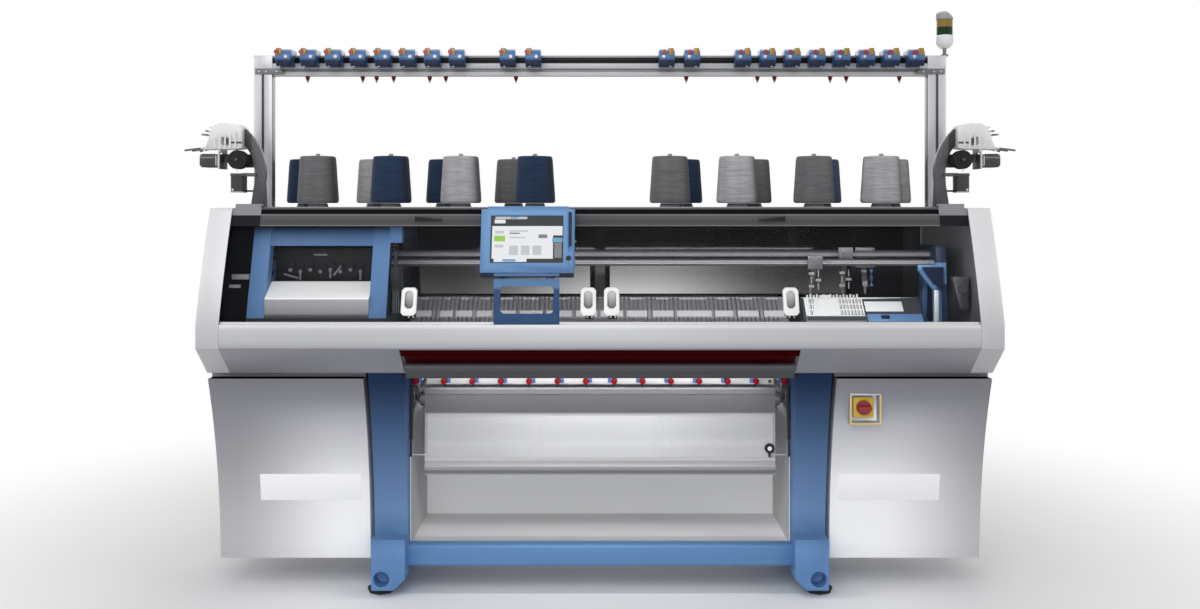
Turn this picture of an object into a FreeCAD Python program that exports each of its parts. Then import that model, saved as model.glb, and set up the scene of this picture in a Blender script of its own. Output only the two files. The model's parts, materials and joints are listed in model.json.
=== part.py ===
import FreeCAD, Part
import math
import os

# Flat knitting machine, all sizes in millimetres.
# X runs along the needle beds (right is plus), Y runs back, Z is up.
# The origin lies on the floor, under the middle of the machine.

V = FreeCAD.Vector

# ---------------------------------------------------------------- driving sizes
# overall case
half_width = 1296.0        # outer faces of the two end covers
depth = 910.0              # front band to rear face of the end covers
end_cover_width = 74.0     # each end cover, along X
sheet = 3.0                # folded sheet covers
seam = 0.3                 # visible joint between two covers
apron_low_z = 764.0        # lower edge of the sloping apron
apron_top_z = 858.0        # where the apron meets the front band
sill_z = 935.0             # top of the front band, foot of the windows
hood_top_z = 1308.0        # top of the end covers
apron_run = 107.0          # how far the apron slopes back
hood_run = 134.0           # how far the end covers lean back at the top
cover_bulge = 8.0          # crown of the end covers' front edge
cover_wall = 4.0           # wall of the moulded end covers

# legs
leg_inner_x = 654.0
leg_width = 113.0
leg_foot_z = 26.0          # underside of the foot block
leg_block_z = 197.0        # top ledge of the foot block
leg_block_half = depth / 2 - 160.0     # half length of the foot block
leg_waist_half = depth / 2 - 222.0     # half depth of the leg just above its foot block
leg_top_half = depth / 2 - 107.0       # half depth of the leg under the base
leg_curve_in = 22.0        # how far the leg's edge is drawn in at mid height
leg_chamfer = 37.0
panel_deep = 12.0          # sunk panel on a leg's outer side
panel_rim = 45.0
lift_bore = 54.0           # round pocket for a lifting bar
lift_depth = 55.0
beam_low_z = 94.0
beam_high_z = 166.0
beam_front_half = leg_block_half - 40.0
beam_chamfer = 8.0
beam_thick = 60.0
foot_pad = 97.0            # diameter of a levelling pad
foot_pad_high = 23.0
foot_stem = 20.0
foot_stem_in = 34.0        # how far a stem goes into its leg
foot_y = leg_block_half - 80.0
foot_in = 21.0             # a foot's centre from the leg's outer face

# machine base and needle beds
base_half_y = depth / 2 - apron_run - 23.0
base_top_z = 830.0
base_slot_half = 40.0      # slot for the fabric, half width
bed_half = 670.0           # needle bed, half length
bed_gap_half = 6.0         # gap between the beds, half width
bed_top_z = 985.0          # needle line
bed_slope_length = 170.0
bed_thick = 40.0
needle_pitch = 16.0
needle_slot = 5.0
needle_slot_deep = 7.0
racking = 50.0             # side shift of the rear bed each way
slide_gap = 0.3            # running gap of sliding faces
comb_x = bed_half + 65.0   # yarn clamps on the right end slide: ribs level with the bed
comb_teeth = 18
comb_pitch = 12.0
comb_tooth = 5.0
comb_from = 6.0
comb_long = 104.0
comb_high = 0.0            # above the bed's face, where the carriage still passes
inner_x = half_width - end_cover_width
end_slide_reach = inner_x - 72.0       # V-shaped end slides run to here

# rails and carriage
rail_y = base_half_y - 35.0
rail_wide = 24.0
ridge_half = 16.0
rail_low_z = 870.0
rail_high = 26.0
rail_half = inner_x - 1.0
carriage_left = -(inner_x - 56.0)
carriage_wide = 461.0
bow_arm = 58.0             # width of a bow arm, along X
bow_foot_y = rail_y + 65.0
bow_top_y = bow_foot_y - 94.0
bow_top_z = 1247.0
bow_thick = 45.0
tab_out = 38.0             # tab and thread sensor on the bow's right side
sensor_z = (1038.0, 1112.0)
tie_high = 66.0            # beam that joins the bow's two arms
plate_top_z = rail_low_z + rail_high + 49.0
cam_high = 46.0            # height of a cam box above the bed
cam_near = 20.0            # cam box starts this far down the slope
cam_far = 185.0
cam_motor = 42.0
cam_motor_y = rail_y - 68.0
cam_motor_high = 68.0
cover_front_y = bow_foot_y - 5.0       # carriage covers, outer and inner faces
cover_back_y = cover_front_y - 100.0
cover_low_edge_z = plate_top_z + 59.0
cover_top_z = plate_top_z + 115.0
cover_skin = 4.0

# yarn feeder rails and feeders
feeder_rail_thick = 8.0
feeder_rail_high = 22.0
feeder_rail_low = (75.0, 1113.0)     # |y| and middle height of the outer rails
feeder_rail_up = (27.0, 1142.0)      # the same for the inner rails
bracket_inner_x = inner_x - 37.0
bracket_outer_x = inner_x - 1.0
bracket_foot_y = 128.0
bracket_top_y = 96.0
bracket_top_z = 1172.0
bracket_ring = (66.0, 50.0)            # metal left round the window, at foot and top
gusset_reach = 65.0

# windows
door_lean = math.radians(18.0)
door_foot = 24.0           # door's foot behind the front face
door_half = 650.0          # each sliding door is this wide
door_top_z = 1262.0
pane = 5.0
track_pitch = 9.0          # from the doors' plane to the fixed panes
handle_wide = 50.0
handle_high = 88.0
handle_out = 15.0
handle_rim = 11.0          # width left round the finger hole, sides
handle_foot = 22.0         # the same below the hole
handle_chamfer = 9.0
header_low_z = door_top_z - 14.0
header_out = 9.0           # header's face in front of the doors' plane
header_deep = 34.0
header_block_in = 10.0     # end blocks of the header: from its ends, and their size
header_block_wide = 86.0
header_block_deep = 12.0
header_block_high = 22.0
header_lip = 5.0           # the lip's back face in front of the doors' plane

# yarn stand
post_x = half_width - 21.0
stand_y = 200.0
beam_z = (1833.0, 1883.0)
lower_rail_z = (1806.0, 1833.0)

os.makedirs("parts", exist_ok=True)
front_y = -depth / 2
rear_y = depth / 2
parts = {}
fine_sides = 6             # flat sides of thin rods that repeat
medium_sides = 8
full_sides = 16            # flat sides of turned pieces that show


# ---------------------------------------------------------------- helpers
def box(x0, x1, y0, y1, z0, z1):
    """A box between two values on each axis."""
    low = V(min(x0, x1), min(y0, y1), min(z0, z1))
    return Part.makeBox(abs(x1 - x0), abs(y1 - y0), abs(z1 - z0), low)


def wire_on(place, start, steps):
    """A closed wire: each step is an end point, or a mid and an end point of an arc."""
    edges = []
    here = start
    for step in list(steps) + [start]:
        if isinstance(step[0], tuple):
            middle, end = step
            edges.append(Part.Arc(place(here), place(middle), place(end)).toShape())
        else:
            end = step
            if here != end:
                edges.append(Part.LineSegment(place(here), place(end)).toShape())
        here = end
    return Part.Wire(edges)


def side_form(x0, x1, start, steps):
    """An outline in the Y-Z plane, pushed along X."""
    face = Part.Face(wire_on(lambda p: V(x0, p[0], p[1]), start, steps))
    return face.extrude(V(x1 - x0, 0, 0))


def front_form(y0, y1, start, steps):
    """An outline in the X-Z plane, pushed along Y."""
    face = Part.Face(wire_on(lambda p: V(p[0], y0, p[1]), start, steps))
    return face.extrude(V(0, y1 - y0, 0))


def rod(radius, start, end, sides=0):
    """A rod between two points: round, or with a number of flat sides inside the circle."""
    run = end - start
    if sides == 0:
        return Part.makeCylinder(radius, run.Length, start, run)
    turn = FreeCAD.Rotation(V(0, 0, 1), run)
    corners = []
    for i in range(sides + 1):
        angle = 2 * math.pi * ((i % sides) + 0.5) / sides
        corners.append(start + turn.multVec(V(radius * math.cos(angle), radius * math.sin(angle), 0)))
    return Part.Face(Part.makePolygon(corners)).extrude(run)


def bore(radius, start, end, sides):
    """A hole with flat sides that all lie outside the circle, so a rod turns in it."""
    return rod(radius / math.cos(math.pi / sides), start, end, sides)


def flat(corners):
    return Part.Face(Part.makePolygon(corners + corners[:1]))


def turned(points, centre, sides=full_sides):
    """A turned form with flat sides about a vertical axis, from (radius, height) points."""
    rings = []
    for radius, z in points:
        ring = []
        for i in range(sides):
            angle = 2 * math.pi * i / sides
            ring.append(centre + V(radius * math.cos(angle), radius * math.sin(angle), z))
        rings.append(ring)
    faces = []
    for k in range(len(points)):
        here = rings[k]
        after = rings[(k + 1) % len(points)]
        if points[k][0] == 0 and points[(k + 1) % len(points)][0] == 0:
            continue
        if points[k][0] == 0:
            faces.append(flat(after))
        elif points[(k + 1) % len(points)][0] == 0:
            faces.append(flat(here))
        else:
            for i in range(sides):
                j = (i + 1) % sides
                faces.append(flat([here[i], here[j], after[j], after[i]]))
    solid = Part.Solid(Part.Shell(faces))
    if solid.Volume < 0:
        solid.reverse()
    return solid


def mirror_x(shape):
    return shape.mirror(V(0, 0, 0), V(1, 0, 0))


def mirror_y(shape):
    return shape.mirror(V(0, 0, 0), V(0, 1, 0))


def both_sides(shape):
    return [shape, mirror_x(shape)]


def rounded(shape, radius, wanted):
    """Rounds the edges that the test picks."""
    edges = [e for e in shape.Edges if wanted(e)]
    return shape.makeFillet(radius, edges)


def runs_along(edge, axis):
    """True for a straight edge that lies along the given axis."""
    if len(edge.Vertexes) < 2:
        return False
    run = edge.Vertexes[1].Point - edge.Vertexes[0].Point
    return run.Length > 0 and abs(run.normalize().dot(axis)) > 0.999


def soft_box(x0, x1, y0, y1, z0, z1, radius, axis):
    """A box whose edges along one axis are rounded."""
    return rounded(box(x0, x1, y0, y1, z0, z1), radius, lambda e: runs_along(e, axis))


def bevelled(shape, size, wanted):
    """Cuts a flat slope on the edges that the test picks."""
    return shape.makeChamfer(size, [e for e in shape.Edges if wanted(e)])


def cut_box(x0, x1, y0, y1, z0, z1, size, axis):
    """A box whose edges along one axis are cut to a slope."""
    return bevelled(box(x0, x1, y0, y1, z0, z1), size, lambda e: runs_along(e, axis))


def one(shapes):
    """Joins overlapping shapes to one clean solid."""
    joined = shapes[0].multiFuse(shapes[1:])
    return joined.removeSplitter()


def keep(name, shapes):
    """Holds the solids of one sub-part under its name."""
    if not isinstance(shapes, list):
        shapes = [shapes]
    solids = []
    for shape in shapes:
        solids.extend(shape.Solids)
    parts[name] = Part.makeCompound(solids)


# ---------------------------------------------------------------- legs and feet
def leg():
    """One cast leg: a waisted column on a long foot block."""
    outer_x = leg_inner_x + leg_width
    middle_z = (leg_block_z + apron_low_z) / 2
    middle_half = (leg_waist_half + leg_top_half) / 2 - leg_curve_in
    column = side_form(
        leg_inner_x, outer_x,
        (-leg_waist_half, leg_block_z - 10),
        [
            (-leg_waist_half, leg_block_z),
            ((-middle_half, middle_z), (-leg_top_half, apron_low_z)),
            (leg_top_half, apron_low_z),
            ((middle_half, middle_z), (leg_waist_half, leg_block_z)),
            (leg_waist_half, leg_block_z - 10),
        ],
    )
    block = front_form(
        -leg_block_half, leg_block_half,
        (leg_inner_x, leg_block_z),
        [
            (outer_x, leg_block_z),
            (outer_x, leg_foot_z),
            (leg_inner_x + leg_chamfer, leg_foot_z),
            (leg_inner_x, leg_foot_z + leg_chamfer),
        ],
    )
    casting = one([column, block])
    side_panel = cut_box(
        outer_x - panel_deep, outer_x + 1, -leg_waist_half + panel_rim, leg_waist_half - panel_rim,
        leg_block_z + 60, apron_low_z - 70, 40, V(1, 0, 0),
    )
    casting = casting.cut(side_panel)
    bore_x = outer_x - 34
    for sign in (-1, 1):
        face = V(bore_x, sign * leg_block_half, leg_foot_z + 37)
        pocket_end = face - V(0, sign * lift_depth, 0)
        casting = casting.cut(rod(lift_bore / 2, face, pocket_end, full_sides))
        stem_at = V(outer_x - foot_in, sign * foot_y, leg_foot_z - 1)
        stem_top = stem_at + V(0, 0, foot_stem_in + 2)
        casting = casting.cut(bore(foot_stem / 2 + seam, stem_at, stem_top, medium_sides))
    return casting


def spring_pin():
    """The pin of a gas spring's upper eye, which stands on the leg's inner face."""
    start = V(spring_x - spring_eye_half, spring_top[0], spring_top[1])
    return rod(flap_pin_r, start, V(leg_inner_x, spring_top[0], spring_top[1]), medium_sides)


def leg_frame():
    beam = box(
        -leg_inner_x, leg_inner_x, -beam_front_half, -beam_front_half + beam_thick,
        beam_low_z, beam_high_z,
    )
    beam = bevelled(beam, beam_chamfer, lambda e: runs_along(e, V(1, 0, 0)))
    keep("leg_frame", both_sides(leg()) + [beam, mirror_y(beam)] + both_sides(spring_pin()))


def levelling_feet():
    """A turned pad, a lock nut and a stem that screws into the leg."""
    feet = []
    outer_x = leg_inner_x + leg_width
    for side in (-1, 1):
        for y in (-foot_y, foot_y):
            centre = V(side * (outer_x - foot_in), y, 0)
            pad = turned(
                [
                    (0, 0), (foot_pad / 2 - 4, 0), (foot_pad / 2, 4),
                    (foot_pad / 2, foot_pad_high - 9), (foot_stem, foot_pad_high),
                    (foot_stem / 2, foot_pad_high), (foot_stem / 2, leg_foot_z + foot_stem_in),
                    (0, leg_foot_z + foot_stem_in),
                ],
                centre, medium_sides,
            )
            feet.append(pad)
    keep("levelling_feet", feet)


# ---------------------------------------------------------------- base and needle beds
def bed_point(along, above):
    """A point of the front bed: along its slope from the needle line, and above its face."""
    part = math.sqrt(0.5)
    return (
        -bed_gap_half - part * (along + above),
        bed_top_z - part * (along - above),
    )


def bed_outline(lower):
    """Outline of a bed with its face lowered by the given amount."""
    near = bed_point(0, 0)
    foot = bed_point(bed_slope_length, -lower)
    under = bed_point(bed_slope_length, -bed_thick)
    top = (near[0], near[1] - lower * math.sqrt(2))
    under_z = under[1] + (near[0] - under[0])
    return top, [foot, under, (near[0], under_z)]


def machine_base():
    """Cast base: side walls, rail ridges, V-shaped bed supports and end slides."""
    trough = box(-inner_x + seam, inner_x - seam, -base_half_y, base_half_y, apron_low_z, base_top_z)
    slot = box(-bed_half, bed_half, -base_slot_half, base_slot_half, apron_low_z - 1, base_top_z + 200)
    ridge = box(
        -rail_half, rail_half, -rail_y - ridge_half, -rail_y + ridge_half,
        base_top_z - 5, rail_low_z,
    )
    under = bed_point(bed_slope_length, -bed_thick)
    ramp_z = under[1] + (-base_slot_half - under[0])
    ramp_points = [
        (-base_slot_half, ramp_z),
        (-base_slot_half, base_top_z - 5),
        (under[0] - 10, base_top_z - 5),
    ]
    support = side_form(-bed_half, bed_half, under, ramp_points)
    start, steps = bed_outline(1.0)
    foot = steps[1]
    end_slide = side_form(
        bed_half + racking + 5, end_slide_reach,
        start, [steps[0], foot, (foot[0], base_top_z - 5), (start[0], base_top_z - 5)],
    )
    front_set = [ridge, support, end_slide, mirror_x(end_slide)]
    rear_set = [mirror_y(shape) for shape in front_set]
    rear_set[1].translate(V(0, 0, -slide_gap * math.sqrt(2)))
    casting = one([trough] + front_set + rear_set)
    casting = casting.cut(slot)
    casting = one([casting, idler_mount()] + clamp_comb())
    keep("machine_base", casting)


def clamp_comb():
    """The yarn clamps on the right end slide: a row of teeth on a backing bar."""
    low = comb_from
    high = comb_from + comb_long
    bar = side_form(
        comb_x, comb_x + (comb_teeth - 1) * comb_pitch + comb_tooth, bed_point(high, -3),
        [bed_point(high, comb_high / 2), bed_point(high - 22, comb_high / 2), bed_point(high - 22, -3)],
    )
    teeth = [bar]
    for i in range(comb_teeth):
        x = comb_x + i * comb_pitch
        teeth.append(
            side_form(
                x, x + comb_tooth, bed_point(low, -3),
                [
                    bed_point(low + 4, comb_high), bed_point(high - 30, comb_high),
                    bed_point(high - 24, -3),
                ],
            )
        )
    return teeth


def grooved_bed():
    """A needle bed: a wedge whose sloping face is cut with a slot for each needle."""
    start, steps = bed_outline(0)
    bed = side_form(-bed_half, bed_half, start, steps)
    count = int(2 * (bed_half - 30) / needle_pitch)
    first = -needle_pitch * (count - 1) / 2
    cutters = []
    for i in range(count):
        x = first + i * needle_pitch
        low = bed_point(bed_slope_length + 5, -needle_slot_deep)
        high = bed_point(-5, -needle_slot_deep)
        over_high = bed_point(-5, 5)
        over_low = bed_point(bed_slope_length + 5, 5)
        cutters.append(
            side_form(x - needle_slot / 2, x + needle_slot / 2, low, [high, over_high, over_low])
        )
    return bed.cut(Part.makeCompound(cutters))


def needle_beds():
    front = grooved_bed()
    keep("needle_bed_front", front)
    keep("needle_bed_rear", mirror_y(front))


# ---------------------------------------------------------------- carriage drive
pulley_r = 30.0
pulley_x = inner_x - 57.0
belt_thick = 2.0
belt_high = 20.0
belt_z = 915.0
shaft_r = 7.0
shaft_gap = 0.05
motor_half = 47.0
motor_low_z = 772.0
motor_top_z = 890.0
belt_slack = 0.3
belt_clamp = 5.0           # carriage plates stand out this far past the bow's feet
pulley_y = bow_foot_y + belt_clamp + belt_thick + belt_slack + pulley_r


def idler_mount():
    """The block on the left of the base that carries the idler's pin."""
    block = box(
        -pulley_x - 25, -pulley_x + 25, base_half_y, pulley_y + 25, base_top_z - 40, motor_top_z
    )
    foot = V(-pulley_x, pulley_y, motor_top_z - 5)
    pin_top = V(-pulley_x, pulley_y, belt_z + belt_high / 2 + 4)
    pin = rod(shaft_r, foot, pin_top, full_sides)
    return one([block, pin])


def pulley(x):
    """A flanged belt pulley on a vertical shaft."""
    low = belt_z - belt_high / 2
    high = belt_z + belt_high / 2
    wheel = rod(pulley_r, V(x, pulley_y, low - 3), V(x, pulley_y, high + 3), full_sides)
    hole = bore(shaft_r + shaft_gap, V(x, pulley_y, low - 4), V(x, pulley_y, high + 4), full_sides)
    return wheel.cut(hole)


def drive():
    low = belt_z - belt_high / 2
    inner_r = pulley_r + belt_slack
    outer_r = inner_r + belt_thick

    def loop(radius):
        middle = box(
            -pulley_x, pulley_x, pulley_y - radius, pulley_y + radius, low, low + belt_high
        )
        ends = [
            rod(
                radius, V(s * pulley_x, pulley_y, low),
                V(s * pulley_x, pulley_y, low + belt_high), 2 * full_sides,
            )
            for s in (-1, 1)
        ]
        return one([middle] + ends)

    keep("drive_belt", loop(outer_r).cut(loop(inner_r)))
    keep("drive_pulley", pulley(pulley_x))
    keep("idler_pulley", pulley(-pulley_x))


def inner_units():
    """Control cabinet, power unit and carriage motor."""
    motor = cut_box(
        pulley_x - motor_half, pulley_x + motor_half, base_half_y, pulley_y + motor_half,
        motor_low_z, motor_top_z, 10, V(0, 0, 1),
    )
    shaft = rod(
        shaft_r, V(pulley_x, pulley_y, motor_top_z - 5),
        V(pulley_x, pulley_y, belt_z + belt_high / 2 + 4), full_sides,
    )
    cabinet = box(
        lower_inner_x + 40, half_width - 45, -150, lower_rear_y - sheet - 2,
        lower_low_z + 60, apron_low_z,
    )
    cabinet = bevelled(cabinet, 6, lambda e: runs_along(e, V(0, 0, 1)))
    keep("inner_units", [one([motor, shaft])] + both_sides(cabinet))


# ---------------------------------------------------------------- lower covers
lower_inner_x = 782.0
lower_low_z = 114.0
lower_high_z = 745.0
lower_foot_run = 230.0     # how far the cover's foot lies behind the front face
lower_curve_in = 30.0
lower_rear_y = depth / 2 - 165.0


def lower_outline(inset):
    """Outline of a lower cover in the Y-Z plane, drawn in by the given amount."""
    top_y = front_y + apron_run + inset
    foot_y_front = front_y + lower_foot_run + inset
    middle_y = (top_y + foot_y_front) / 2 + lower_curve_in
    middle_z = (lower_low_z + lower_high_z) / 2
    start = (top_y, lower_high_z)
    return start, [
        ((middle_y, middle_z), (foot_y_front, lower_low_z + inset)),
        (lower_rear_y, lower_low_z + inset),
        (lower_rear_y, lower_high_z),
    ]


def lower_covers():
    """Two folded covers with a hollow curved front, open behind."""
    start, steps = lower_outline(0)
    skin = side_form(lower_inner_x, half_width - 1, start, steps)
    start, steps = lower_outline(sheet)
    hollow = side_form(lower_inner_x + sheet, half_width - 1 - sheet, start, steps)
    shell = skin.cut(hollow)
    lid = box(
        lower_inner_x, half_width - 1, front_y + apron_run + 40, lower_rear_y,
        lower_high_z, apron_low_z,
    )
    inner_lid = box(
        lower_inner_x + sheet, half_width - 1 - sheet, front_y + apron_run + 40 + sheet,
        lower_rear_y + 1, lower_high_z - 1, apron_low_z + 1,
    )
    collar = lid.cut(inner_lid)
    shell = one([shell, collar])
    cut_low = V(switch_x, 0, switch_z)
    right = shell.cut(
        box(
            cut_low.x - switch_recess / 2, cut_low.x + switch_recess / 2, front_y, 0,
            cut_low.z - switch_recess / 2, cut_low.z + switch_recess / 2,
        )
    )
    keep("lower_covers", [mirror_x(shell), right])


switch_x = 883.0
switch_z = 640.0
switch_recess = 106.0
switch_plate_side = 68.0
knob_r = 25.0
knob_long = 30.0


def cover_face_y(z):
    """Where the curved front of a lower cover lies at a height."""
    top_y = front_y + apron_run
    foot = front_y + lower_foot_run
    middle_y = (top_y + foot) / 2 + lower_curve_in
    middle_z = (lower_low_z + lower_high_z) / 2
    arc = Part.Arc(
        V(top_y, lower_high_z, 0), V(middle_y, middle_z, 0), V(foot, lower_low_z, 0)
    )
    circle = arc.toShape().Curve
    centre = circle.Center
    return centre.x + math.sqrt(circle.Radius ** 2 - (z - centre.y) ** 2)


def main_switch():
    """A bright tray set in the right cover, a yellow plate and a turning red knob."""
    face_y = cover_face_y(switch_z + switch_recess / 2) + 4
    half = switch_recess / 2 - 0.4
    floor_y = cover_face_y(switch_z - switch_recess / 2) + 12
    tray = box(
        switch_x - half, switch_x + half, face_y, floor_y + 4, switch_z - half, switch_z + half
    )
    pocket = box(
        switch_x - half + 6, switch_x + half - 6, face_y - 1, floor_y,
        switch_z - half + 6, switch_z + half - 6,
    )
    tray = tray.cut(pocket)
    plate_half = switch_plate_side / 2
    plate = soft_box(
        switch_x - plate_half, switch_x + plate_half, floor_y - 10, floor_y,
        switch_z - plate_half, switch_z + plate_half, 6, V(0, 1, 0),
    )
    keep("switch_plate", [tray, plate])
    knob_back = V(switch_x, floor_y - 10 - slide_gap, switch_z)
    disc = rod(knob_r, knob_back, knob_back - V(0, 10, 0), full_sides)
    grip = cut_box(
        switch_x - knob_r + 3, switch_x + knob_r - 3, knob_back.y - knob_long, knob_back.y - 8,
        switch_z - 7, switch_z + 7, 3, V(0, 1, 0),
    )
    keep("switch_knob", one([disc, grip]))
    print("switch axis", round(switch_x, 2), round(knob_back.y, 2), round(switch_z, 2))


# ---------------------------------------------------------------- end covers and front
def end_outline(inset):
    """Outline of an end cover in the Y-Z plane, drawn in by the given amount."""
    mid_y = front_y + hood_run / 2 - cover_bulge + inset
    mid_z = (sill_z + hood_top_z) / 2
    top = hood_top_z - inset
    low = apron_low_z + inset
    start = (front_y + apron_run + inset, low)
    return start, [
        (front_y + inset, apron_top_z),
        (front_y + inset, sill_z),
        ((mid_y, mid_z), (front_y + hood_run - 8 + inset, top - 14)),
        ((front_y + hood_run - 2 + inset, top - 4), (front_y + hood_run + 10 + inset, top)),
        (rear_y - 26 - inset, top),
        ((rear_y - 7.6 - inset, top - 7.6), (rear_y - inset, top - 26)),
        (rear_y - inset, low + 12),
        (rear_y - inset - 12, low),
    ]


def end_covers():
    start, steps = end_outline(0)
    skin = side_form(inner_x, half_width, start, steps)
    start, steps = end_outline(cover_wall)
    hollow = side_form(inner_x - 1, half_width - cover_wall, start, steps)
    keep("end_covers", both_sides(skin.cut(hollow)))


def door_y(z):
    """Front face of the sliding doors at a height."""
    return front_y + door_foot + (z - sill_z) * math.tan(door_lean)


rib_y = 8.0
rib_thick = 2.5
rib_high = 8.0
ledge_back = 62.0


def front_cover():
    """The light band under the windows, with the ledge and rib that carry the screen."""
    half = inner_x - seam
    band = side_form(
        -half, half, (front_y, apron_top_z + seam),
        [
            (front_y, sill_z),
            (front_y + rib_y, sill_z),
            (front_y + rib_y, sill_z + rib_high),
            (front_y + rib_y + rib_thick, sill_z + rib_high),
            (front_y + rib_y + rib_thick, sill_z),
            (front_y + ledge_back, sill_z),
            (front_y + ledge_back, sill_z - 25),
            (front_y + ledge_back - sheet, sill_z - 25),
            (front_y + ledge_back - sheet, sill_z - sheet),
            (front_y + sheet, sill_z - sheet),
            (front_y + sheet, apron_top_z + seam),
        ],
    )
    keep("front_cover", band)


bar_half = 642.0
bar_wide = 38.0            # start bar, across the slope
bar_deep = 20.0
bar_pin_r = 4.0
bar_end_gap = 3.0          # tray's ends from the bar's ends
bar_from_top = 31.0        # bar's middle, down the slope from the band
tray_deep = 24.0
tray_margin = 8.0          # tray's mouth starts and ends this far from the slope's edges


def slope_point(along, inward):
    """A point of the apron: down its slope from the band, and inward from its face."""
    length = math.hypot(apron_run, apron_top_z - apron_low_z)
    down = (apron_run / length, -(apron_top_z - apron_low_z) / length)
    inside = (-down[1], down[0])
    return (
        front_y + down[0] * along + inside[0] * inward,
        apron_top_z + down[1] * along + inside[1] * inward,
    )


def front_apron():
    """The dark sloping apron with a long recess for the start bar."""
    length = math.hypot(apron_run, apron_top_z - apron_low_z)
    half = inner_x - seam
    slope = side_form(
        -half, half, slope_point(0, 0),
        [
            slope_point(length, 0),
            (-base_half_y - seam, apron_low_z),
            (-base_half_y - seam, apron_low_z + sheet),
            (slope_point(length, sheet)[0] + 1, apron_low_z + sheet),
            slope_point(sheet, sheet),
            (front_y + sheet, apron_top_z),
        ],
    )
    top = tray_margin
    low = length - tray_margin
    tray = side_form(
        -bar_half - bar_end_gap - sheet, bar_half + bar_end_gap + sheet,
        slope_point(top - sheet, 1),
        [
            slope_point(low + sheet, 1),
            slope_point(low + sheet, tray_deep + sheet),
            slope_point(top - sheet, tray_deep + sheet),
        ],
    )
    pocket = side_form(
        -bar_half - bar_end_gap, bar_half + bar_end_gap, slope_point(top, -5),
        [slope_point(low, -5), slope_point(low, tray_deep), slope_point(top, tray_deep)],
    )
    apron = one([slope, tray]).cut(pocket)
    pivot = slope_point(bar_from_top, bar_deep / 2)
    for sign in (-1, 1):
        start = V(sign * (bar_half + 4), pivot[0], pivot[1])
        end = V(sign * (bar_half - 12), pivot[0], pivot[1])
        pin = rod(bar_pin_r, start, end, medium_sides)
        apron = one([apron, pin])
    keep("front_apron", apron)
    print("start bar axis", round(pivot[0], 2), round(pivot[1], 2))


def start_bar():
    """A long rounded bar that is turned up to start and pressed down to stop."""
    half = bar_wide / 2
    low = bar_from_top - half
    high = bar_from_top + half
    bar = side_form(
        -bar_half, bar_half, slope_point(low + 5, 2),
        [
            (slope_point(bar_from_top, -3), slope_point(high - 5, 2)),
            (slope_point(high - 1, 5), slope_point(high, 9)),
            slope_point(high - 6, bar_deep),
            slope_point(low + 6, bar_deep),
            slope_point(low, 9),
            (slope_point(low + 1, 5), slope_point(low + 5, 2)),
        ],
    )
    pivot = slope_point(bar_from_top, bar_deep / 2)
    for sign in (-1, 1):
        start = V(sign * (bar_half + 1), pivot[0], pivot[1])
        end = V(sign * (bar_half - 14), pivot[0], pivot[1])
        bar = bar.cut(bore(bar_pin_r + shaft_gap, start, end, medium_sides))
    keep("start_bar", bar)


# ---------------------------------------------------------------- windows and hood
def leaning_plate(x0, x1, z0, z1, front, thick):
    """A plate parallel to the windows, a given way behind the doors' face."""
    return side_form(
        x0, x1, (door_y(z0) + front, z0),
        [(door_y(z0) + front + thick, z0), (door_y(z1) + front + thick, z1), (door_y(z1) + front, z1)],
    )


def window_header():
    """The profile over the windows, with the doors' top track and two end blocks."""
    half = inner_x - seam
    bar = side_form(
        -half, half, (door_y(header_low_z) - header_out, header_low_z),
        [
            (door_y(header_low_z) - header_lip, header_low_z),
            (door_y(door_top_z + 4) - header_lip, door_top_z + 4),
            (door_y(door_top_z) + header_deep, door_top_z + 4),
            (door_y(door_top_z) + header_deep, hood_top_z),
            (door_y(hood_top_z) - header_out, hood_top_z),
        ],
    )
    solids = [bar]
    for side in (-1, 1):
        outer = side * (half - header_block_in)
        solids.append(
            box(
                outer, outer - side * header_block_wide,
                door_y(hood_top_z) - header_out - 2, door_y(hood_top_z) + header_block_deep,
                hood_top_z - header_block_high, hood_top_z + 14,
            )
        )
    keep("window_header", one(solids))


def fixed_panes():
    """Fixed panes beside the doors, and the panes of the rear cover."""
    side = leaning_plate(
        door_half - 25, inner_x - seam, sill_z, door_top_z + 4, track_pitch, pane
    )
    rear = box(
        20, rear_window_x, rear_cover_y - pane, rear_cover_y,
        rear_window_low - 15, rear_window_high + 15,
    )
    keep("fixed_panes", both_sides(side) + both_sides(rear))


def sliding_doors():
    for name, sign in (("left", -1), ("right", 1)):
        glass = leaning_plate(
            sign * 0.5, sign * door_half, sill_z + slide_gap, door_top_z, 0, pane
        )
        keep("window_" + name, glass)
        handles = [door_handle(sign * 38.0), door_handle(sign * 618.0)]
        keep("handles_" + name, handles)


handle_low_z = 962.0


def door_handle(x):
    """A white D-shaped pull with a finger hole, flat against the glass."""
    z0 = handle_low_z
    z1 = handle_low_z + handle_high
    body = leaning_plate(x - handle_wide / 2, x + handle_wide / 2, z0, z1, -handle_out, handle_out)
    body = bevelled(body, handle_chamfer, lambda e: abs(e.Length - handle_out) < 1e-6)
    hole = leaning_plate(
        x - handle_wide / 2 + handle_rim, x + handle_wide / 2 - handle_rim,
        z0 + handle_foot, z1 - handle_rim, -handle_out - 1, handle_out + 2,
    )
    hole = bevelled(hole, handle_chamfer - 1, lambda e: abs(e.Length - handle_out - 2) < 1e-6)
    return body.cut(hole)


# ---------------------------------------------------------------- rear cover and deck
rear_cover_y = rear_y - 8.0
rear_window_in = 212.0     # from the cover's end to the rear window
rear_window_x = inner_x - rear_window_in
rear_window_low = 960.0
rear_window_high = 1200.0
deck_thick = 10.0
louvre_count = 6
louvre_pitch = 26.0
louvre_high = 9.0
louvre_share = 0.63        # part of the door's width the louvres take


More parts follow.
